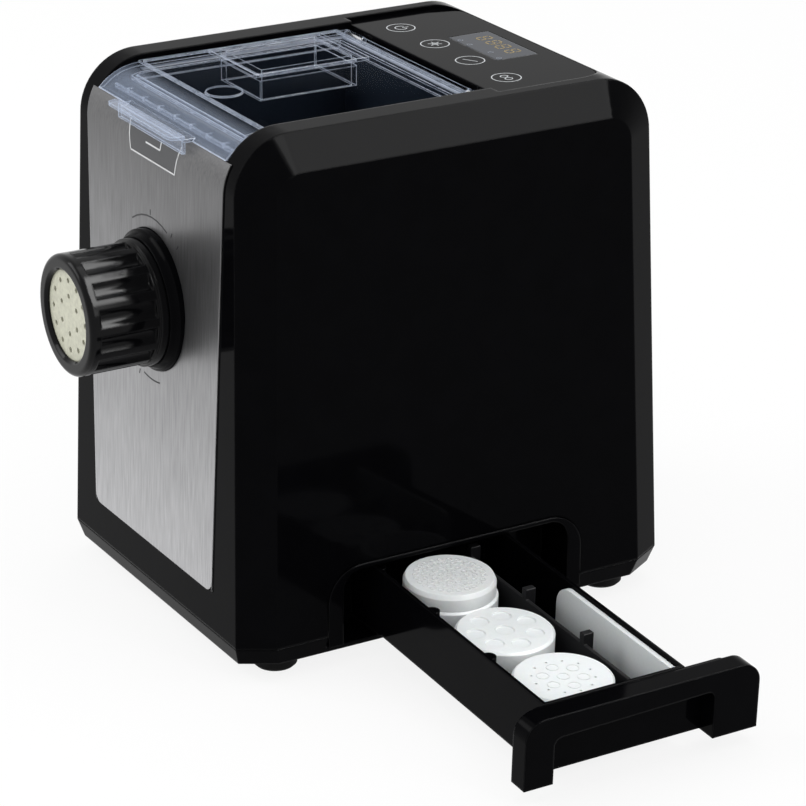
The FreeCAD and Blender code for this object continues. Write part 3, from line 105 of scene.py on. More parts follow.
def power_prop(name, description, default):
    """A lamp's power that a user can change, in watts."""
    return FloatProperty(name=name, description=description, default=default, min=0.0,
                         unit="POWER")


class PASTA_PG_finishes(bpy.types.PropertyGroup):
    """Colours of the moulded, pressed and printed surfaces."""
    black: colour_prop("Black", "Gloss black plastic", (0.0015, 0.0015, 0.0019))
    satin_black: colour_prop("Satin black", "Inner and under parts", (0.007, 0.007, 0.008))
    # The head's colour is painted shade: the sheet is darkened towards the lid in place of a dark
    # reflection.
    steel: colour_prop("Steel", "Foot of the brushed front sheet", (0.46, 0.46, 0.47))
    steel_painted_top_shade: colour_prop("Steel painted top shade", "Head of the brushed front sheet", (0.13, 0.13, 0.135))
    chamber: colour_prop("Chamber", "Mixing bowl", (0.010, 0.014, 0.022))
    clear: colour_prop("Clear", "Clear lid", (0.42, 0.50, 0.66))
    cream: colour_prop("Cream", "Shaping disc", (0.50, 0.50, 0.40))
    white: colour_prop("White", "Spare discs", (0.88, 0.89, 0.89))
    ink: colour_prop("Ink", "Printed marks on the panel", (0.5, 0.52, 0.54))
    amber: colour_prop("Amber", "Display digits", (0.24, 0.17, 0.045))
    label: colour_prop("Label", "Dark field under the lid's tab", (0.045, 0.046, 0.05))


class PASTA_PG_marks(bpy.types.PropertyGroup):
    """Sizes of the touch icons, the display digits and the marks on the sheet."""
    icon_radius: length_prop("Icon radius", "Circle round a touch icon", 8.0 * MM)
    icon_line: length_prop("Icon line", "Line width of a touch icon", 0.6 * MM)
    icon_spacing: length_prop("Icon spacing", "Distance between touch icons", 37.6 * MM)
    icon_y: FloatProperty(name="Icon row", description="Y of the touch icons' row",
                          default=57.0 * MM, unit="LENGTH", subtype="DISTANCE")
    digit_height: length_prop("Digit height", "Height of a display digit", 8.5 * MM)
    digit_width: length_prop("Digit width", "Width of a display digit", 5.2 * MM)
    digit_count: IntProperty(name="Digits", description="Digits on the display", default=4, min=1)
    print_line: length_prop("Print line", "Line width on the sheet", 0.9 * MM)
    mark_height: length_prop("Mark height", "How far a mark stands off its surface", 0.06 * MM)


class PASTA_PG_stage(bpy.types.PropertyGroup):
    """The camera, the lamps and the floor."""
    azimuth: FloatProperty(name="Azimuth", description="Camera turn about Z",
                           default=math.radians(59.71), subtype="ANGLE")
    elevation: FloatProperty(name="Elevation", description="Camera height angle",
                             default=math.radians(22.14), subtype="ANGLE")
    roll: FloatProperty(name="Roll", description="Camera roll",
                        default=math.radians(0.14), subtype="ANGLE")
    lens: FloatProperty(name="Lens", description="Focal length in millimetres", default=148.64)
    place: FloatVectorProperty(name="Place", description="Camera location", subtype="XYZ",
                               default=(1.51669, -0.85989, 0.80857))
    floor_size: length_prop("Floor", "Side of the floor", 12.0)
    key_power: power_prop("Key", "Power of the key lamp", 20.0)
    fill_power: power_prop("Fill", "Power of the fill lamp and of the top lamp", 9.0)
    shine_power: power_prop("Shine", "Power of the overhead reflector", 170.0)
    world: FloatProperty(name="World", description="Strength of the room light", default=0.8)


# Node helpers

def node(tree, kind, **values):
    """Add a shader node, setting its attributes."""
    item = tree.nodes.new(kind)
    for key, value in values.items():
        setattr(item, key, value)
    return item


def join(tree, source, target):
    """Link two sockets."""
    tree.links.new(source, target)


def new_group(name, inputs, outputs):
    """An empty shader group with float, colour or vector sockets and its two ends."""
    kinds = {"f": "NodeSocketFloat", "c": "NodeSocketColor", "v": "NodeSocketVector"}
    tree = bpy.data.node_groups.new(name, "ShaderNodeTree")
    for label, kind, value in inputs:
        socket = tree.interface.new_socket(label, in_out="INPUT", socket_type=kinds[kind])
        socket.default_value = value
    for label, kind in outputs:
        tree.interface.new_socket(label, in_out="OUTPUT", socket_type=kinds[kind])
    return tree, node(tree, "NodeGroupInput"), node(tree, "NodeGroupOutput")


def edge_wear_and_highlight_group():
    """A mask that is 1 on sharp edges and 0 on flats, broken up by noise: real rubbing on some
    finishes, a painted edge highlight on others.
    """
    tree, inside, out = new_group(
        "Edge rub and highlight",
        [("Radius", "f", 0.6 * MM), ("Amount", "f", 0.5)],
        [("Mask", "f")])
    bevel = node(tree, "ShaderNodeBevel", samples=4)
    join(tree, inside.outputs["Radius"], bevel.inputs["Radius"])
    flat = node(tree, "ShaderNodeNewGeometry")
    dot = node(tree, "ShaderNodeVectorMath", operation="DOT_PRODUCT")
    join(tree, bevel.outputs["Normal"], dot.inputs[0])
    join(tree, flat.outputs["Normal"], dot.inputs[1])
    ramp = node(tree, "ShaderNodeMapRange")
    ramp.inputs["From Min"].default_value = 0.95
    ramp.inputs["From Max"].default_value = 0.75
    join(tree, dot.outputs["Value"], ramp.inputs["Value"])
    place = node(tree, "ShaderNodeTexCoord")
    noise = node(tree, "ShaderNodeTexNoise")
    noise.inputs["Scale"].default_value = 160.0
    join(tree, place.outputs["Object"], noise.inputs["Vector"])
    broken = node(tree, "ShaderNodeMath", operation="MULTIPLY")
    join(tree, ramp.outputs["Result"], broken.inputs[0])
    join(tree, noise.outputs["Fac"], broken.inputs[1])
    scaled = node(tree, "ShaderNodeMath", operation="MULTIPLY", use_clamp=True)
    join(tree, broken.outputs["Value"], scaled.inputs[0])
    join(tree, inside.outputs["Amount"], scaled.inputs[1])
    join(tree, scaled.outputs["Value"], out.inputs["Mask"])
    return tree


def grain_group():
    """Moulded or cast grain, stretched along any axis, as a value and a normal."""
    tree, inside, out = new_group(
        "Surface grain",
        [("Stretch", "v", (1.0, 1.0, 1.0)), ("Scale", "f", 400.0), ("Depth", "f", 20 * MICRON),
         ("Round", "f", 0.8 * MM)],
        [("Value", "f"), ("Normal", "v")])
    rounded = node(tree, "ShaderNodeBevel", samples=4)
    join(tree, inside.outputs["Round"], rounded.inputs["Radius"])
    place = node(tree, "ShaderNodeTexCoord")
    mapping = node(tree, "ShaderNodeVectorMath", operation="MULTIPLY")
    join(tree, place.outputs["Object"], mapping.inputs[0])
    join(tree, inside.outputs["Stretch"], mapping.inputs[1])
    noise = node(tree, "ShaderNodeTexNoise")
    noise.inputs["Detail"].default_value = 5.0
    join(tree, mapping.outputs["Vector"], noise.inputs["Vector"])
    join(tree, inside.outputs["Scale"], noise.inputs["Scale"])
    bump = node(tree, "ShaderNodeBump")
    bump.inputs["Strength"].default_value = 0.6
    join(tree, inside.outputs["Depth"], bump.inputs["Distance"])
    join(tree, noise.outputs["Fac"], bump.inputs["Height"])
    join(tree, rounded.outputs["Normal"], bump.inputs["Normal"])
    join(tree, noise.outputs["Fac"], out.inputs["Value"])
    join(tree, bump.outputs["Normal"], out.inputs["Normal"])
    return tree


def gloss_group():
    """Roughness that drifts between two levels, as handled plastic and metal do."""
    tree, inside, out = new_group(
        "Gloss detail", [("Scale", "f", 14.0), ("Smooth", "f", 0.1), ("Dull", "f", 0.2)],
        [("Roughness", "f")])
    place = node(tree, "ShaderNodeTexCoord")
    noise = node(tree, "ShaderNodeTexNoise")
    noise.inputs["Detail"].default_value = 6.0
    join(tree, place.outputs["Object"], noise.inputs["Vector"])
    join(tree, inside.outputs["Scale"], noise.inputs["Scale"])
    spread = node(tree, "ShaderNodeMapRange")
    spread.inputs["From Min"].default_value = 0.3
    spread.inputs["From Max"].default_value = 0.7
    join(tree, noise.outputs["Fac"], spread.inputs["Value"])
    join(tree, inside.outputs["Smooth"], spread.inputs["To Min"])
    join(tree, inside.outputs["Dull"], spread.inputs["To Max"])
    join(tree, spread.outputs["Result"], out.inputs["Roughness"])
    return tree


GROUP_MAKERS = {
    "Edge rub and highlight": edge_wear_and_highlight_group,
    "Surface grain": grain_group,
    "Gloss detail": gloss_group,
}
GROUPS = {}


def use_group(tree, name, **values):
    """Place a shared group in a material with its own values, making it on first use."""
    if name not in GROUPS:
        GROUPS[name] = GROUP_MAKERS[name]()
    item = node(tree, "ShaderNodeGroup", node_tree=GROUPS[name])
    for key, value in values.items():
        item.inputs[key].default_value = value
    return item


def grey(level):
    """A neutral tone."""
    return (level, level, level)


def surface(name, base, light, gloss, scale, depth=20 * MICRON, stretch=(1, 1, 1), wear_and_highlight=0.5,
            wear_and_highlight_radius=0.6 * MM, soft=0.8 * MM, spread=0.18, **shader):
    """A moulded, pressed or turned finish: two tones, lightened edges, grain and gloss detail.

    light is the tone of the lightened edges: real rubbing on some finishes, a painted edge highlight on
    the gloss black, the grip, the brushed sheet and the clear lid. gloss holds the smoothest and the
    dullest roughness, and scale, depth and stretch shape the grain. soft rounds the edges' shading, and
    spread is how far the two tones lie from the base colour.
    """
    material = bpy.data.materials.new(name)
    material.use_nodes = True
    tree = material.node_tree
    principled = tree.nodes["Principled BSDF"]
    edges = use_group(tree, "Edge rub and highlight", Radius=wear_and_highlight_radius, Amount=wear_and_highlight)
    grained = use_group(tree, "Surface grain", Stretch=stretch, Scale=scale, Depth=depth,
                        Round=soft)
    glossed = use_group(tree, "Gloss detail", Smooth=gloss[0], Dull=gloss[1])
    tones = node(tree, "ShaderNodeMix", data_type="RGBA")
    tones.inputs["A"].default_value = (*[c * (1.0 - spread) for c in base], 1.0)
    tones.inputs["B"].default_value = (*[min(1.0, c * (1.0 + spread)) for c in base], 1.0)
    join(tree, grained.outputs["Value"], tones.inputs["Factor"])
    rub_and_highlight_mix = node(tree, "ShaderNodeMix", data_type="RGBA")
    rub_and_highlight_mix.inputs["B"].default_value = (*light, 1.0)
    join(tree, edges.outputs["Mask"], rub_and_highlight_mix.inputs["Factor"])
    join(tree, tones.outputs["Result"], rub_and_highlight_mix.inputs["A"])
    join(tree, rub_and_highlight_mix.outputs["Result"], principled.inputs["Base Color"])
    join(tree, glossed.outputs["Roughness"], principled.inputs["Roughness"])
    join(tree, grained.outputs["Normal"], principled.inputs["Normal"])
    for key, value in shader.items():
        principled.inputs[key.replace("_", " ")].default_value = value
    return material


def paint_steel_top_shade(material, foot, head):
    """Painted shade: the sheet's colour deepens towards the head, where it meets the lid, alike in all
    channels, in place of the darker reflection there.
    """
    top_shade_ratio = head[0] / foot[0]
    tree = material.node_tree
    principled = tree.nodes["Principled BSDF"]
    source = principled.inputs["Base Color"].links[0].from_socket
    place = node(tree, "ShaderNodeTexCoord")
    axes = node(tree, "ShaderNodeSeparateXYZ")
    join(tree, place.outputs["Object"], axes.inputs["Vector"])
    height = node(tree, "ShaderNodeMapRange")
    height.inputs["From Min"].default_value = SHEET_LOW.z
    height.inputs["From Max"].default_value = SHOULDER
    height.inputs["To Min"].default_value = 1.0
    height.inputs["To Max"].default_value = top_shade_ratio
    join(tree, axes.outputs["Z"], height.inputs["Value"])
    tone = node(tree, "ShaderNodeVectorMath", operation="SCALE")
    join(tree, source, tone.inputs[0])
    join(tree, height.outputs["Result"], tone.inputs["Scale"])
    join(tree, tone.outputs["Vector"], principled.inputs["Base Color"])


def clear_finish(name, tint, haze):
    """Clear plastic: see-through flats, cloudier where the wall is seen edge on, with a painted sheen
    on the front roll and painted highlights on the edges.
    """
    slant_start, slant_haze, roll_painted_sheen = 0.58, 0.4, 0.16
    rim_highlight_width, rim_highlight_strength = 1.4 * MM, 2.2
    # Painted highlight: the near-white edge tone marks the lid's edges.
    material = surface(name, tint, light=(0.92, 0.95, 1.0), gloss=(0.03, 0.07), scale=60,
                       depth=5 * MICRON, wear_and_highlight=0.6, wear_and_highlight_radius=1.1 * MM, soft=0.5 * MM,
                       Specular_IOR_Level=0.25)
    tree = material.node_tree
    principled = tree.nodes["Principled BSDF"]
    # Painted highlight: the edges turn opaque and show the near-white edge tone.
    edges = use_group(tree, "Edge rub and highlight", Radius=rim_highlight_width, Amount=rim_highlight_strength)
    facing = node(tree, "ShaderNodeLayerWeight")
    facing.inputs["Blend"].default_value = 0.35
    slant = node(tree, "ShaderNodeMapRange")
    slant.inputs["From Min"].default_value = slant_start
    slant.inputs["To Min"].default_value = haze
    slant.inputs["To Max"].default_value = slant_haze
    join(tree, facing.outputs["Facing"], slant.inputs["Value"])
    place = node(tree, "ShaderNodeTexCoord")
    axes = node(tree, "ShaderNodeSeparateXYZ")
    join(tree, place.outputs["Object"], axes.inputs["Vector"])
    # Painted sheen: the front roll is made partly opaque in the pale tint.
    roll = node(tree, "ShaderNodeMapRange")
    roll.inputs["From Min"].default_value = ROLL_START
    roll.inputs["From Max"].default_value = ROLL_END
    roll.inputs["To Max"].default_value = roll_painted_sheen
    join(tree, axes.outputs["Y"], roll.inputs["Value"])
    walls = node(tree, "ShaderNodeMath", operation="MAXIMUM")
    join(tree, slant.outputs["Result"], walls.inputs[0])
    join(tree, roll.outputs["Result"], walls.inputs[1])
    total = node(tree, "ShaderNodeMath", operation="ADD", use_clamp=True)
    join(tree, walls.outputs["Value"], total.inputs[0])
    join(tree, edges.outputs["Mask"], total.inputs[1])
    join(tree, total.outputs["Value"], principled.inputs["Alpha"])
    return material


def ink_material(name, tint, glow=0.0):
    """Printed ink: a little uneven and matt, with a faint glow where one is given: lit on the display,
    a painted glow on the touch icons.
    """
    return surface(name, tint, light=tint, gloss=(0.45, 0.6), scale=1500, depth=10 * MICRON,
                   wear_and_highlight=0.1, Emission_Color=(*tint, 1.0), Emission_Strength=glow)


def clothe(material, *names):
    """Give CAD nodes a finish."""
    for name in names:
        data = frame["nodes"][name].data
        data.materials.clear()
        data.materials.append(material)


# Mesh helpers: each mark is drawn flat in X and Y, thickened upwards, then laid on its surface

def ribbon(bm, centre, radius, start, turn, width):
    """A flat arc or ring of a given line width, swept by a spin."""
    axis_point = Vector((*centre, 0.0))
    ends = []
    for reach in (radius - width / 2, radius + width / 2):
        ends.append(bm.verts.new(axis_point + Vector((math.cos(start), math.sin(start), 0)) * reach))
    edge = bm.edges.new(ends)
    steps = max(6, int(abs(turn) / math.radians(7.5)))
    full = abs(turn) >= math.tau - 0.001
    bmesh.ops.spin(bm, geom=[*ends, edge], cent=axis_point, axis=(0, 0, 1), angle=turn,
                   steps=steps, use_merge=full, use_duplicate=False)


def stroke(bm, start, end, width):
    """A flat straight line between two points."""
    along = Vector(end) - Vector(start)
    middle = (Vector(start) + Vector(end)) / 2
    place = (Matrix.Translation((*middle, 0.0))
             @ Matrix.Rotation(math.atan2(along.y, along.x), 4, "Z")
             @ Matrix.Diagonal((along.length, width, 1.0, 1.0)))
    bmesh.ops.create_grid(bm, x_segments=4, y_segments=1, size=0.5, matrix=place)


def disc(bm, centre, radius):
    """A filled dot."""
    bmesh.ops.create_circle(bm, cap_ends=True, segments=20, radius=radius,
                            matrix=Matrix.Translation((*centre, 0.0)))


def thicken(bm, height):
    """Give flat marks a thickness upwards, with outward faces."""
    bmesh.ops.recalc_face_normals(bm, faces=bm.faces)
    for face in bm.faces:
        if face.normal.z < 0:
            face.normal_flip()
    grown = bmesh.ops.extrude_face_region(bm, geom=list(bm.faces), use_keep_orig=True)
    raised = [item for item in grown["geom"] if isinstance(item, bmesh.types.BMVert)]
    bmesh.ops.translate(bm, verts=raised, vec=(0, 0, height))
    bmesh.ops.recalc_face_normals(bm, faces=bm.faces)


def bar(bm, centre, spans):
    """A plain box about a centre, and its edges in a steady order."""
    place = Matrix.Translation(centre) @ Matrix.Diagonal((*spans, 1.0))
    made = bmesh.ops.create_cube(bm, size=1.0, matrix=place)
    return list(dict.fromkeys(edge for vert in made["verts"] for edge in vert.link_edges))


def round_off(bm, edges, radius, segments=2):
    """Round some edges."""
    bmesh.ops.bevel(bm, geom=edges, offset=radius, segments=segments, profile=0.5,
                    affect="EDGES", material=-1)


def block(bm, low, high, corner):
    """A bar between two corners, with its edges rounded."""
    low, high = Vector(low), Vector(high)
    round_off(bm, bar(bm, (low + high) / 2, high - low), corner)


def finish_piece(name, bm, material, body):
    """Turn a bmesh into an object on the frame, with a finish and a body to ride on."""
    mesh = bpy.data.meshes.new(name)
    bm.to_mesh(mesh)
    bm.free()
    mesh.materials.append(material)
    piece = bpy.data.objects.new(name, mesh)
    bpy.context.scene.collection.objects.link(piece)
    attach(piece, body)
    return piece


def sheet_front(height):
    """Y of the front sheet's outer face at a height."""
    if height <= SHOULDER:
        return SHEET_LOW.y + (height - SHEET_LOW.z) * LEAN
    rise = height - SHOULDER
    return ROUND_Y - math.sqrt(ROUND_RADIUS * ROUND_RADIUS - rise * rise)


def lay_on_sheet(bm):
    """Stand flat marks up and move them onto the front sheet: their Y becomes height."""
    for vert in bm.verts:
        across, up, out = vert.co
        vert.co = Vector((across, sheet_front(up) - out, up))


def lay_on_panel(bm, level):
    """Lift flat marks to the level of the panel or of its window."""
    bmesh.ops.translate(bm, verts=bm.verts, vec=(0, 0, level))


# Glyphs, in a unit circle

def power_glyph(bm, x, y, size, line):
    """An open ring with an upright bar."""
    ribbon(bm, (x, y), size * 0.42, math.radians(120), math.radians(300), line)
    stroke(bm, (x, y + size * 0.12), (x, y + size * 0.62), line)


def mix_glyph(bm, x, y, size, line):
    """Three crossed bars round a small ring."""
    for index in range(3):
        angle = math.radians(60 * index)
        reach = Vector((math.cos(angle), math.sin(angle))) * size * 0.5
        stroke(bm, Vector((x, y)) - reach, Vector((x, y)) + reach, line)
    ribbon(bm, (x, y), size * 0.2, 0.0, math.tau, line)


def noodle_glyph(bm, x, y, size, line):
    """One slanted bar."""
    reach = Vector((0.5, 0.3)) * size
    stroke(bm, Vector((x, y)) - reach, Vector((x, y)) + reach, line)


def machine_glyph(bm, x, y, size, line):
    """Two half rings joined by crossed bars."""
    ribbon(bm, (x - size * 0.25, y), size * 0.28, math.radians(90), math.pi, line)
    ribbon(bm, (x + size * 0.25, y), size * 0.28, math.radians(-90), math.pi, line)
    stroke(bm, (x - size * 0.25, y + size * 0.28), (x + size * 0.25, y - size * 0.28), line)
    stroke(bm, (x - size * 0.25, y - size * 0.28), (x + size * 0.25, y + size * 0.28), line)


GLYPHS = (power_glyph, mix_glyph, noodle_glyph, machine_glyph)

# Moulded nodes that get a cleanly shaded copy, and the angles at which faces join or stay sharp
SHELLS = ("housing", "base_tray", "control_panel", "drawer_front", "drawer_tray", "bay_frame",
          "front_panel", "locking_ring")
MERGE_GAP = 0.01 * MM
FLAT_ANGLE = math.radians(0.3)
SHARP_ANGLE = math.radians(18)

RIB_COUNT = 7
DRAWER_TILT = math.radians(2.5)

# Rings on each disc: how many, how far out, and their radius
RELIEFS = {
    "spare_die_front": ((1, 0.0, 3.2 * MM), (6, 10.5 * MM, 3.2 * MM)),
    "spare_washer": ((1, 0.0, 1.5 * MM), (6, 4.6 * MM, 1.5 * MM), (12, 9.2 * MM, 1.5 * MM),
                     (18, 13.8 * MM, 1.5 * MM), (24, 18.4 * MM, 1.5 * MM)),
}
RELIEF_LINE = 0.5 * MM
RELIEF_HEIGHT = 0.25 * MM

# Digits: their pitch as a share of their width, their rise as a share of half their height, and
# their bars and dots as shares of the icons' line
DIGIT_PITCH = 1.9
DIGIT_RISE = 0.9
DIGIT_BAR = 1.4
DIGIT_DOT = 0.9
COLON_STEP = 1.68 * MM
SIGN_PLACES = ((-18 * MM, -10 * MM), (-8 * MM, -10 * MM), (11 * MM, -8 * MM), (23 * MM, -10 * MM))
SIGN_RADIUS = 1.4 * MM
SIGN_REACH = 0.8 * MM
SIGN_LINE = 0.7

# Marks round the nozzle, in degrees: each arc's start and turn, and the ticks' places
LOCK_ARCS = ((68, 54), (-102, 24))
LOCK_TICKS = (62, 52, 93, -108)
LOCK_REACH = 46.0 * MM
TICK_END = 4.0 * MM

# The floor lies a little under the feet, and glows by this share where the camera sees it
FLOOR_DROP = 0.2 * MM
FLOOR_GLOW = 0.86
STAGE_MIDDLE = (0.05, 0.0, 0.15)


class PASTA_OT_finishes(bpy.types.Operator):
    """Give every CAD node its finish"""
    bl_idname = "pasta_maker.finishes"
    bl_label = "Finishes"

    def execute(self, context):
        tints = context.scene.pasta_finishes
        self.dress_casing(tints)
        self.dress_chamber(tints)
        self.dress_metal(tints)
        self.dress_drive_and_boards()
        self.dress_discs(tints)
        bare = [name for name, item in frame["nodes"].items() if not item.data.materials]
        if bare:
            raise RuntimeError("nodes with no finish: " + ", ".join(bare))
        return {"FINISHED"}

    def dress_casing(self, tints):
        """Gloss casing, grip ring, satin inner parts, rubber feet and the display's window."""
        # Painted highlight: the light edge tone draws thin bright lines along the casing's edges.
        black = surface("Gloss black", tints.black, light=(0.09, 0.09, 0.095), gloss=(0.05, 0.1),
                        scale=60, depth=4 * MICRON, wear_and_highlight=0.35, wear_and_highlight_radius=0.5 * MM,
                        soft=1.6 * MM, spread=0.3, Specular_IOR_Level=0.018)
        clothe(black, "housing", "nozzle_collar", "drawer_front", "control_panel",
               "drawer_tray", "drawer_inner_front", "base_tray", "bay_frame")
        # Painted highlight: the light edge tone brightens the grip's edges, as on the gloss black.
        grip = surface("Grip black", tints.black, light=(0.07, 0.07, 0.075), gloss=(0.06, 0.13),
                       scale=60, depth=4 * MICRON, wear_and_highlight=0.3, soft=1.4 * MM, spread=0.3,
                       Specular_IOR_Level=0.12)
        clothe(grip, "locking_ring")
        satin = surface("Satin black", tints.satin_black, light=grey(0.05), gloss=(0.3, 0.45),
                        scale=900, wear_and_highlight=0.4, Specular_IOR_Level=0.12)
        clothe(satin, "drawer_bay", "tool_rail", "lead_inlet",
               "lid_switch", "worm_screw", "mixing_paddle", "barrel")
        rubber = surface("Rubber", grey(0.005), light=grey(0.02), gloss=(0.6, 0.8),
                         scale=1400, depth=50 * MICRON, wear_and_highlight=0.4, Specular_IOR_Level=0.1)
        clothe(rubber, "foot_front_left", "foot_front_right", "foot_rear_left",
               "foot_rear_right", "shaft_seal")
        window = surface("Display window", (0.012, 0.017, 0.028), light=(0.04, 0.05, 0.07),
                         gloss=(0.05, 0.1), scale=80, depth=3 * MICRON, wear_and_highlight=0.2,
                         Specular_IOR_Level=0.1)
        clothe(window, "display_window")

    def dress_chamber(self, tints):
        """The bowl, the clear lid over it and the seal between them."""
        bowl = surface("Chamber", tints.chamber, light=(0.03, 0.04, 0.06), gloss=(0.18, 0.3),
                       scale=500, depth=10 * MICRON, wear_and_highlight=0.4, Specular_IOR_Level=0.1)
        clothe(bowl, "mixing_bowl")
        clear = clear_finish("Clear lid", tints.clear, 0.0)
        clothe(clear, "lid")
        # Partly painted reflection: the seal is lightened and blued for the light reflected round the
        # lid's border.
        seal = surface("Seal with painted reflection", (0.16, 0.19, 0.25), light=(0.4, 0.42, 0.46), gloss=(0.3, 0.5),
                       scale=900)
        clothe(seal, "lid_seal")

    def dress_metal(self, tints):
        """The brushed sheet, turned steel, the motor's steel and sintered bronze."""
        # Painted highlight: the near-white edge tone at a high share draws a bright line along the
        # sheet's edges.
        steel = surface("Brushed sheet", tints.steel, light=grey(0.8), gloss=(0.3, 0.42),
                        scale=1500, depth=30 * MICRON, stretch=(1, 1, 0.014), wear_and_highlight=0.9,
                        spread=0.5, Metallic=0.9)
        # Painted shade: the sheet's colour darkens from its foot up to its head.
        paint_steel_top_shade(steel, tints.steel, tints.steel_painted_top_shade)
        clothe(steel, "front_panel")
        bright = surface("Bright steel", (0.62, 0.62, 0.63), light=grey(0.85), gloss=(0.18, 0.3),
                         scale=600, depth=10 * MICRON, stretch=(1, 0.1, 1), Metallic=1.0)
        clothe(bright, "base_screws", "hinge_pins", "drive_shaft", "layshaft",
               "gear_plate_front", "gear_plate_rear", "gear_pillars")
        dark_steel = surface("Motor steel", (0.22, 0.22, 0.23), light=grey(0.5),
                             gloss=(0.3, 0.45), scale=300, wear_and_highlight=0.6, Metallic=0.9)
        clothe(dark_steel, "motor_can", "motor_stator", "motor_rotor")
        bronze = surface("Sintered bronze", (0.52, 0.34, 0.14), light=(0.8, 0.62, 0.35),
                         gloss=(0.3, 0.45), scale=900, depth=30 * MICRON, wear_and_highlight=0.6, Metallic=1.0)
        clothe(bronze, "shaft_bushes", "motor_pinion")

    def dress_drive_and_boards(self):
        """Moulded gears and the two circuit boards."""
        gears = surface("Gear plastic", (0.74, 0.71, 0.6), light=(0.9, 0.88, 0.8),
                        gloss=(0.35, 0.5), scale=700, wear_and_highlight=0.6)
        clothe(gears, "output_wheel", "layshaft_cluster")
        board = surface("Circuit board", (0.02, 0.12, 0.05), light=(0.3, 0.32, 0.2),
                        gloss=(0.3, 0.45), scale=600, wear_and_highlight=0.6)
        clothe(board, "power_board", "control_board")

    def dress_discs(self, tints):
        """The cream disc in use, and the white spares and tool."""
        cream = surface("Cream disc", tints.cream, light=(0.85, 0.83, 0.75), gloss=(0.4, 0.55),
                        scale=420, depth=120 * MICRON, wear_and_highlight=0.6, spread=0.3)
        clothe(cream, "die_plate")
        white = surface("White discs", tints.white, light=grey(0.95), gloss=(0.35, 0.5),
                        scale=500, spread=0.04, Subsurface_Weight=0.08)
        clothe(white, "spare_die_front", "spare_die_middle", "spare_die_rear", "spare_washer",
               "cleaning_tool", "cooling_fan")


class PASTA_OT_smooth_shells(bpy.types.Operator):
    """Stand cleanly shaded copies in for the large moulded nodes"""
    bl_idname = "pasta_maker.smooth_shells"
    bl_label = "Smooth shells"

    def execute(self, context):
        for name in SHELLS:
            source = frame["nodes"][name]
            bm = bmesh.new()
            bm.from_mesh(source.data)
            bmesh.ops.remove_doubles(bm, verts=bm.verts, dist=MERGE_GAP)
            bmesh.ops.dissolve_limit(bm, angle_limit=FLAT_ANGLE, verts=bm.verts, edges=bm.edges)
            for face in bm.faces:
                face.smooth = True
            for edge in bm.edges:
                edge.smooth = edge.calc_face_angle(0.0) < SHARP_ANGLE
            piece = finish_piece(name + "_shell", bm, source.data.materials[0], source["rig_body"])
            even = piece.modifiers.new("Even shading", "WEIGHTED_NORMAL")
            even.keep_sharp = True
            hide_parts(name)
        return {"FINISHED"}


class PASTA_OT_lid_trim(bpy.types.Operator):
    """Add the clear ribs along the lid's front roll and the lip of its tab"""
    bl_idname = "pasta_maker.lid_trim"
    bl_label = "Lid trim"

    def execute(self, context):
        low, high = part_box("lid")
        clear = clear_finish("Clear trim", context.scene.pasta_finishes.clear, 0.2)
        self.make_ribs(low, high, clear)
        self.make_lip(low, clear)
        return {"FINISHED"}

    def make_ribs(self, low, high, clear):
        """Two long bars across the lid, with short bars between them."""
        rear, front, floor = -102.0 * MM, -116.0 * MM, 284.2 * MM
        wall, rise, inset, corner = 1.6 * MM, 2.6 * MM, 6.0 * MM, 0.3 * MM
        bm = bmesh.new()
        block(bm, (low.x + inset, rear - wall, floor), (high.x - inset, rear, floor + 2 * rise), corner)
        block(bm, (low.x + inset, front, floor), (high.x - inset, front + wall, floor + rise), corner)
        for step in range(RIB_COUNT):
            x = low.x + (step + 1) * (high.x - low.x) / (RIB_COUNT + 1)
            block(bm, (x - wall / 2, front + wall, floor), (x + wall / 2, rear - wall, floor + rise),
                  corner)
        finish_piece("lid_front_ribs", bm, clear, "lid")

    def make_lip(self, low, clear):
        """A rounded plate that lengthens the tab forwards, level with its top."""
        near = [vert.co for vert in frame["nodes"]["lid"].data.vertices if vert.co.y < low.y + MM]
        left, right = min(co.x for co in near), max(co.x for co in near)
        top = max(co.z for co in near)
        reach, root, thick, corner = 7.0 * MM, 1.4 * MM, 2.0 * MM, 5.0 * MM
        margin, lift, softness = 1.0 * MM, 0.2 * MM, 0.3 * MM
        centre = ((left + right) / 2, low.y + (root - reach) / 2, top + thick / 2 + lift)
        bm = bmesh.new()
        edges = bar(bm, centre, (right - left + 2 * margin, reach + root, thick))
        corners = [edge for edge in edges
                   if all(vert.co.y < low.y for vert in edge.verts)
                   and abs(edge.verts[0].co.z - edge.verts[1].co.z) > MM]
        round_off(bm, corners, corner, segments=6)
        round_off(bm, list(bm.edges), softness)
        finish_piece("lid_tab_lip", bm, clear, "lid")


class PASTA_OT_disc_relief(bpy.types.Operator):
    """Raise the fine rings on the spare discs' faces"""
    bl_idname = "pasta_maker.disc_relief"
    bl_label = "Disc relief"

    def execute(self, context):
        white = frame["nodes"]["spare_die_front"].data.materials[0]
        tilt = Matrix.Rotation(DRAWER_TILT, 4, "Y")
        normal = tilt @ Vector((0, 0, 1))
        for name, circles in RELIEFS.items():
            points = [vert.co for vert in frame["nodes"][name].data.vertices]
            top = max(point.dot(normal) for point in points)
            face = [point for point in points if point.dot(normal) > top - 0.02 * MM]
            low = Vector([min(point[axis] for point in face) for axis in range(3)])
            high = Vector([max(point[axis] for point in face) for axis in range(3)])
            centre = (low + high) / 2
            bm = bmesh.new()
            for count, reach, radius in circles:
                for index in range(count):
                    angle = math.tau * index / count
                    ribbon(bm, (reach * math.cos(angle), reach * math.sin(angle)), radius, 0.0,
                           math.tau, RELIEF_LINE)
            thicken(bm, RELIEF_HEIGHT)
            bmesh.ops.transform(bm, verts=bm.verts, matrix=Matrix.Translation(centre) @ tilt)
            finish_piece(name + "_relief", bm, white, "drawer")
        return {"FINISHED"}


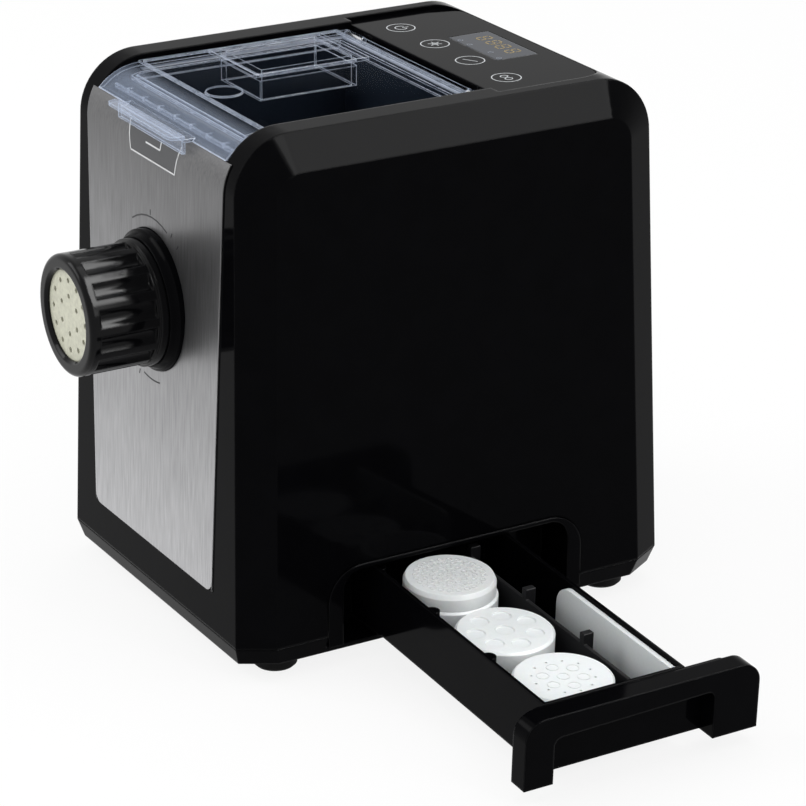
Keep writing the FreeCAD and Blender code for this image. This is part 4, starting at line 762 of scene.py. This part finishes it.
class PASTA_OT_touch_icons(bpy.types.Operator):
    """Print the four touch icons on the control panel"""
    bl_idname = "pasta_maker.touch_icons"
    bl_label = "Touch icons"

    def execute(self, context):
        sizes = context.scene.pasta_marks
        bm = bmesh.new()
        for index, glyph in enumerate(GLYPHS):
            x = (index - (len(GLYPHS) - 1) / 2) * sizes.icon_spacing
            ribbon(bm, (x, sizes.icon_y), sizes.icon_radius, 0.0, math.tau, sizes.icon_line)
            glyph(bm, x, sizes.icon_y, sizes.icon_radius, sizes.icon_line)
        thicken(bm, sizes.mark_height)
        lay_on_panel(bm, PANEL_TOP)
        # Painted glow: the printed icons hold no lamp, yet their ink glows faintly.
        ink = ink_material("Panel ink with painted glow", context.scene.pasta_finishes.ink, 0.1)
        finish_piece("touch_icons", bm, ink, "base")
        return {"FINISHED"}


class PASTA_OT_display(bpy.types.Operator):
    """Light the display's digits and small signs"""
    bl_idname = "pasta_maker.display"
    bl_label = "Display"

    def execute(self, context):
        sizes = context.scene.pasta_marks
        middle = (WINDOW_LOW + WINDOW_HIGH) / 2
        self.make_digits(context, sizes, middle)
        self.make_signs(sizes, middle)
        return {"FINISHED"}

    def make_digits(self, context, sizes, middle):
        """A row of seven-bar digits with two dots at its middle."""
        wide, high, line = sizes.digit_width / 2, sizes.digit_height / 2, sizes.icon_line
        pitch = sizes.digit_width * DIGIT_PITCH
        y = middle.y + high * DIGIT_RISE
        bm = bmesh.new()
        for index in range(sizes.digit_count):
            x = middle.x + (index - (sizes.digit_count - 1) / 2) * pitch
            for level in (-high, 0.0, high):
                stroke(bm, (x - wide + line, y + level), (x + wide - line, y + level),
                       line * DIGIT_BAR)
            for side in (-wide, wide):
                stroke(bm, (x + side, y - high + line), (x + side, y - line), line * DIGIT_BAR)
                stroke(bm, (x + side, y + line), (x + side, y + high - line), line * DIGIT_BAR)
        for step in (-COLON_STEP, COLON_STEP):
            disc(bm, (middle.x, y + step), line * DIGIT_DOT)
        thicken(bm, sizes.mark_height)
        lay_on_panel(bm, WINDOW_HIGH.z)
        amber = ink_material("Amber digits", context.scene.pasta_finishes.amber, 0.1)
        finish_piece("display_digits", bm, amber, "base")

    def make_signs(self, sizes, middle):
        """Small barred rings below the digits."""
        line = sizes.icon_line * SIGN_LINE
        bm = bmesh.new()
        for across, up in SIGN_PLACES:
            x, y = middle.x + across, middle.y + up
            ribbon(bm, (x, y), SIGN_RADIUS, 0.0, math.tau, line)
            stroke(bm, (x - SIGN_REACH, y), (x + SIGN_REACH, y), line)
        thicken(bm, sizes.mark_height)
        lay_on_panel(bm, WINDOW_HIGH.z)
        faint = ink_material("Faint signs", (0.16, 0.18, 0.22), 0.05)
        finish_piece("display_signs", bm, faint, "base")


class PASTA_OT_sheet_marks(bpy.types.Operator):
    """Print the lock marks round the nozzle and the outline under the lid's tab"""
    bl_idname = "pasta_maker.sheet_marks"
    bl_label = "Sheet marks"

    def execute(self, context):
        sizes = context.scene.pasta_marks
        line = sizes.print_line
        collar_low, collar_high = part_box("nozzle_collar")
        axis = (collar_low + collar_high) / 2
        centre = Vector((axis.x, axis.z))
        bm = bmesh.new()
        for start, turn in LOCK_ARCS:
            ribbon(bm, centre, LOCK_REACH, math.radians(start), math.radians(turn), line)
        for angle in LOCK_TICKS:
            outwards = Vector((math.cos(math.radians(angle)), math.sin(math.radians(angle))))
            stroke(bm, centre + outwards * (LOCK_REACH + line),
                   centre + outwards * (LOCK_REACH + TICK_END), line)
        thicken(bm, sizes.mark_height)
        lay_on_sheet(bm)
        dark = ink_material("Sheet ink", (0.02, 0.02, 0.022))
        finish_piece("lock_marks", bm, dark, "base")
        self.make_label(context, sizes)
        return {"FINISHED"}

    def make_label(self, context, sizes):
        """A dark field with a light outline and a bent arrow, under the lid's tab."""
        low, high = 263.0 * MM, 279.0 * MM
        foot, head = 26.0 * MM, 30.0 * MM
        line = sizes.print_line
        field = bmesh.new()
        bmesh.ops.create_grid(field, x_segments=2, y_segments=12, size=1.0)
        for vert in field.verts:
            share = (vert.co.y + 1.0) / 2
            half = foot + (head - foot) * share
            vert.co = Vector((vert.co.x * half, low + (high - low) * share, 0.0))
        thicken(field, sizes.mark_height)
        lay_on_sheet(field)
        dark = ink_material("Label field", context.scene.pasta_finishes.label)
        finish_piece("tab_label", field, dark, "base")
        outline = bmesh.new()
        corners = [(-head, high), (-foot, low), (foot, low), (head, high)]
        for start, end in zip(corners, corners[1:]):
            stroke(outline, start, end, line)
        middle, reach = 271.5 * MM, 8.5 * MM
        stroke(outline, (-reach, middle), (reach, middle), line)
        stroke(outline, (reach, middle), (reach, middle + reach / 2), line)
        thicken(outline, sizes.mark_height * 2)
        lay_on_sheet(outline)
        light = ink_material("Label line", (0.7, 0.71, 0.72))
        finish_piece("tab_label_line", outline, light, "base")


def lamp(name, place, aim, power, wide, high, shine_only=False):
    """A soft area lamp that looks at a point; shine_only adds reflections and no light."""
    data = bpy.data.lights.new(name, "AREA")
    data.shape = "RECTANGLE"
    data.size = wide
    data.size_y = high
    data.energy = power
    item = bpy.data.objects.new(name, data)
    bpy.context.scene.collection.objects.link(item)
    item.location = place
    item.rotation_euler = (Vector(place) - Vector(aim)).to_track_quat("Z", "Y").to_euler()
    item.visible_camera = False
    item.visible_diffuse = not shine_only
    item.visible_transmission = not shine_only


def seen_factor(tree):
    """1 for rays that show the background: camera, glossy and transmission rays."""
    path = node(tree, "ShaderNodeLightPath")
    total = node(tree, "ShaderNodeMath", operation="ADD")
    join(tree, path.outputs["Is Camera Ray"], total.inputs[0])
    join(tree, path.outputs["Is Glossy Ray"], total.inputs[1])
    full = node(tree, "ShaderNodeMath", operation="ADD", use_clamp=True)
    join(tree, total.outputs["Value"], full.inputs[0])
    join(tree, path.outputs["Is Transmission Ray"], full.inputs[1])
    return full.outputs["Value"]


class PASTA_OT_stage(bpy.types.Operator):
    """Make the floor, the room light, the lamps and the camera"""
    bl_idname = "pasta_maker.stage"
    bl_label = "Stage"

    def execute(self, context):
        stage = context.scene.pasta_stage
        self.make_floor(stage)
        self.make_world(context, stage)
        lamp("key", (-1.1, -1.7, 1.5), STAGE_MIDDLE, stage.key_power, 1.3, 1.3)
        lamp("fill", (2.2, 0.6, 1.4), STAGE_MIDDLE, stage.fill_power, 0.5, 1.6)
        lamp("overhead shine", (0.7, 0.95, 1.7), STAGE_MIDDLE, stage.shine_power, 2.4, 1.4,
             shine_only=True)
        lamp("top", (0.0, 0.3, 2.2), STAGE_MIDDLE, stage.fill_power, 1.6, 1.2)
        self.make_camera(context, stage)
        context.scene.view_settings.view_transform = "Standard"
        return {"FINISHED"}

    def make_floor(self, stage):
        """A pale floor that looks white and still takes the shadow."""
        bm = bmesh.new()
        bmesh.ops.create_grid(bm, x_segments=1, y_segments=1, size=stage.floor_size / 2)
        mesh = bpy.data.meshes.new("floor")
        bm.to_mesh(mesh)
        bm.free()
        floor = bpy.data.objects.new("floor", mesh)
        bpy.context.scene.collection.objects.link(floor)
        floor.location.z = -FLOOR_DROP
        material = bpy.data.materials.new("Pale floor")
        material.use_nodes = True
        tree = material.node_tree
        tree.nodes.clear()
        out = node(tree, "ShaderNodeOutputMaterial")
        matt = node(tree, "ShaderNodeBsdfDiffuse")
        matt.inputs["Color"].default_value = (*grey(0.9), 1.0)
        glow = node(tree, "ShaderNodeEmission")
        share = node(tree, "ShaderNodeMath", operation="MULTIPLY")
        share.inputs[1].default_value = FLOOR_GLOW
        join(tree, seen_factor(tree), share.inputs[0])
        mix = node(tree, "ShaderNodeMixShader")
        join(tree, share.outputs["Value"], mix.inputs[0])
        join(tree, matt.outputs["BSDF"], mix.inputs[1])
        join(tree, glow.outputs["Emission"], mix.inputs[2])
        join(tree, mix.outputs["Shader"], out.inputs["Surface"])
        mesh.materials.append(material)

    def make_world(self, context, stage):
        """Plain room light, white where it is seen."""
        world = bpy.data.worlds.new("Room")
        context.scene.world = world
        world.use_nodes = True
        tree = world.node_tree
        back = tree.nodes["Background"]
        back.inputs["Color"].default_value = (*grey(1.0), 1.0)
        level = node(tree, "ShaderNodeMapRange")
        level.inputs["To Min"].default_value = stage.world
        level.inputs["To Max"].default_value = 1.0
        join(tree, seen_factor(tree), level.inputs["Value"])
        join(tree, level.outputs["Result"], back.inputs["Strength"])

    def make_camera(self, context, stage):
        """The camera at the photograph's angle."""
        data = bpy.data.cameras.new("view")
        data.lens = stage.lens
        data.sensor_width = 36.0
        data.clip_start, data.clip_end = 0.05, 50.0
        camera = bpy.data.objects.new("view", data)
        context.scene.collection.objects.link(camera)
        turn, rise = stage.azimuth, stage.elevation
        back = Vector((math.sin(turn) * math.cos(rise), -math.cos(turn) * math.cos(rise),
                       math.sin(rise)))
        right = Vector((0, 0, 1)).cross(back).normalized()
        up = back.cross(right)
        cos, sin = math.cos(stage.roll), math.sin(stage.roll)
        axes = (right * cos + up * sin, up * cos - right * sin, back)
        camera.matrix_world = (Matrix.Translation(Vector(stage.place))
                               @ Matrix(axes).transposed().to_4x4())
        context.scene.camera = camera


class PASTA_PT_panel(bpy.types.Panel):
    """Sizes, colours and the steps that dress the pasta maker"""
    bl_idname = "PASTA_PT_panel"
    bl_label = "Pasta maker"
    bl_space_type = "VIEW_3D"
    bl_region_type = "UI"
    bl_category = "Pasta maker"

    def draw(self, context):
        for group in ("pasta_finishes", "pasta_marks", "pasta_stage"):
            box = self.layout.box()
            values = getattr(context.scene, group)
            for name in values.bl_rna.properties.keys():
                if name not in ("rna_type", "name"):
                    box.prop(values, name)
        for step in STEPS:
            self.layout.operator(step.bl_idname)


STEPS = (
    PASTA_OT_finishes,
    PASTA_OT_smooth_shells,
    PASTA_OT_lid_trim,
    PASTA_OT_disc_relief,
    PASTA_OT_touch_icons,
    PASTA_OT_display,
    PASTA_OT_sheet_marks,
    PASTA_OT_stage,
)
GROUP_CLASSES = (PASTA_PG_finishes, PASTA_PG_marks, PASTA_PG_stage)


def register():
    """Register the classes and hang their settings on the scene."""
    for item in (*GROUP_CLASSES, *STEPS, PASTA_PT_panel):
        bpy.utils.register_class(item)
    bpy.types.Scene.pasta_finishes = PointerProperty(type=PASTA_PG_finishes)
    bpy.types.Scene.pasta_marks = PointerProperty(type=PASTA_PG_marks)
    bpy.types.Scene.pasta_stage = PointerProperty(type=PASTA_PG_stage)


def unregister():
    """Take the settings and the classes away again."""
    del bpy.types.Scene.pasta_stage
    del bpy.types.Scene.pasta_marks
    del bpy.types.Scene.pasta_finishes
    for item in (PASTA_PT_panel, *reversed(STEPS), *reversed(GROUP_CLASSES)):
        bpy.utils.unregister_class(item)


def main():
    """Run every step in order."""
    register()
    for step in STEPS:
        family, name = step.bl_idname.split(".")
        getattr(getattr(bpy.ops, family), name)()


if __name__ == "__main__":
    main()
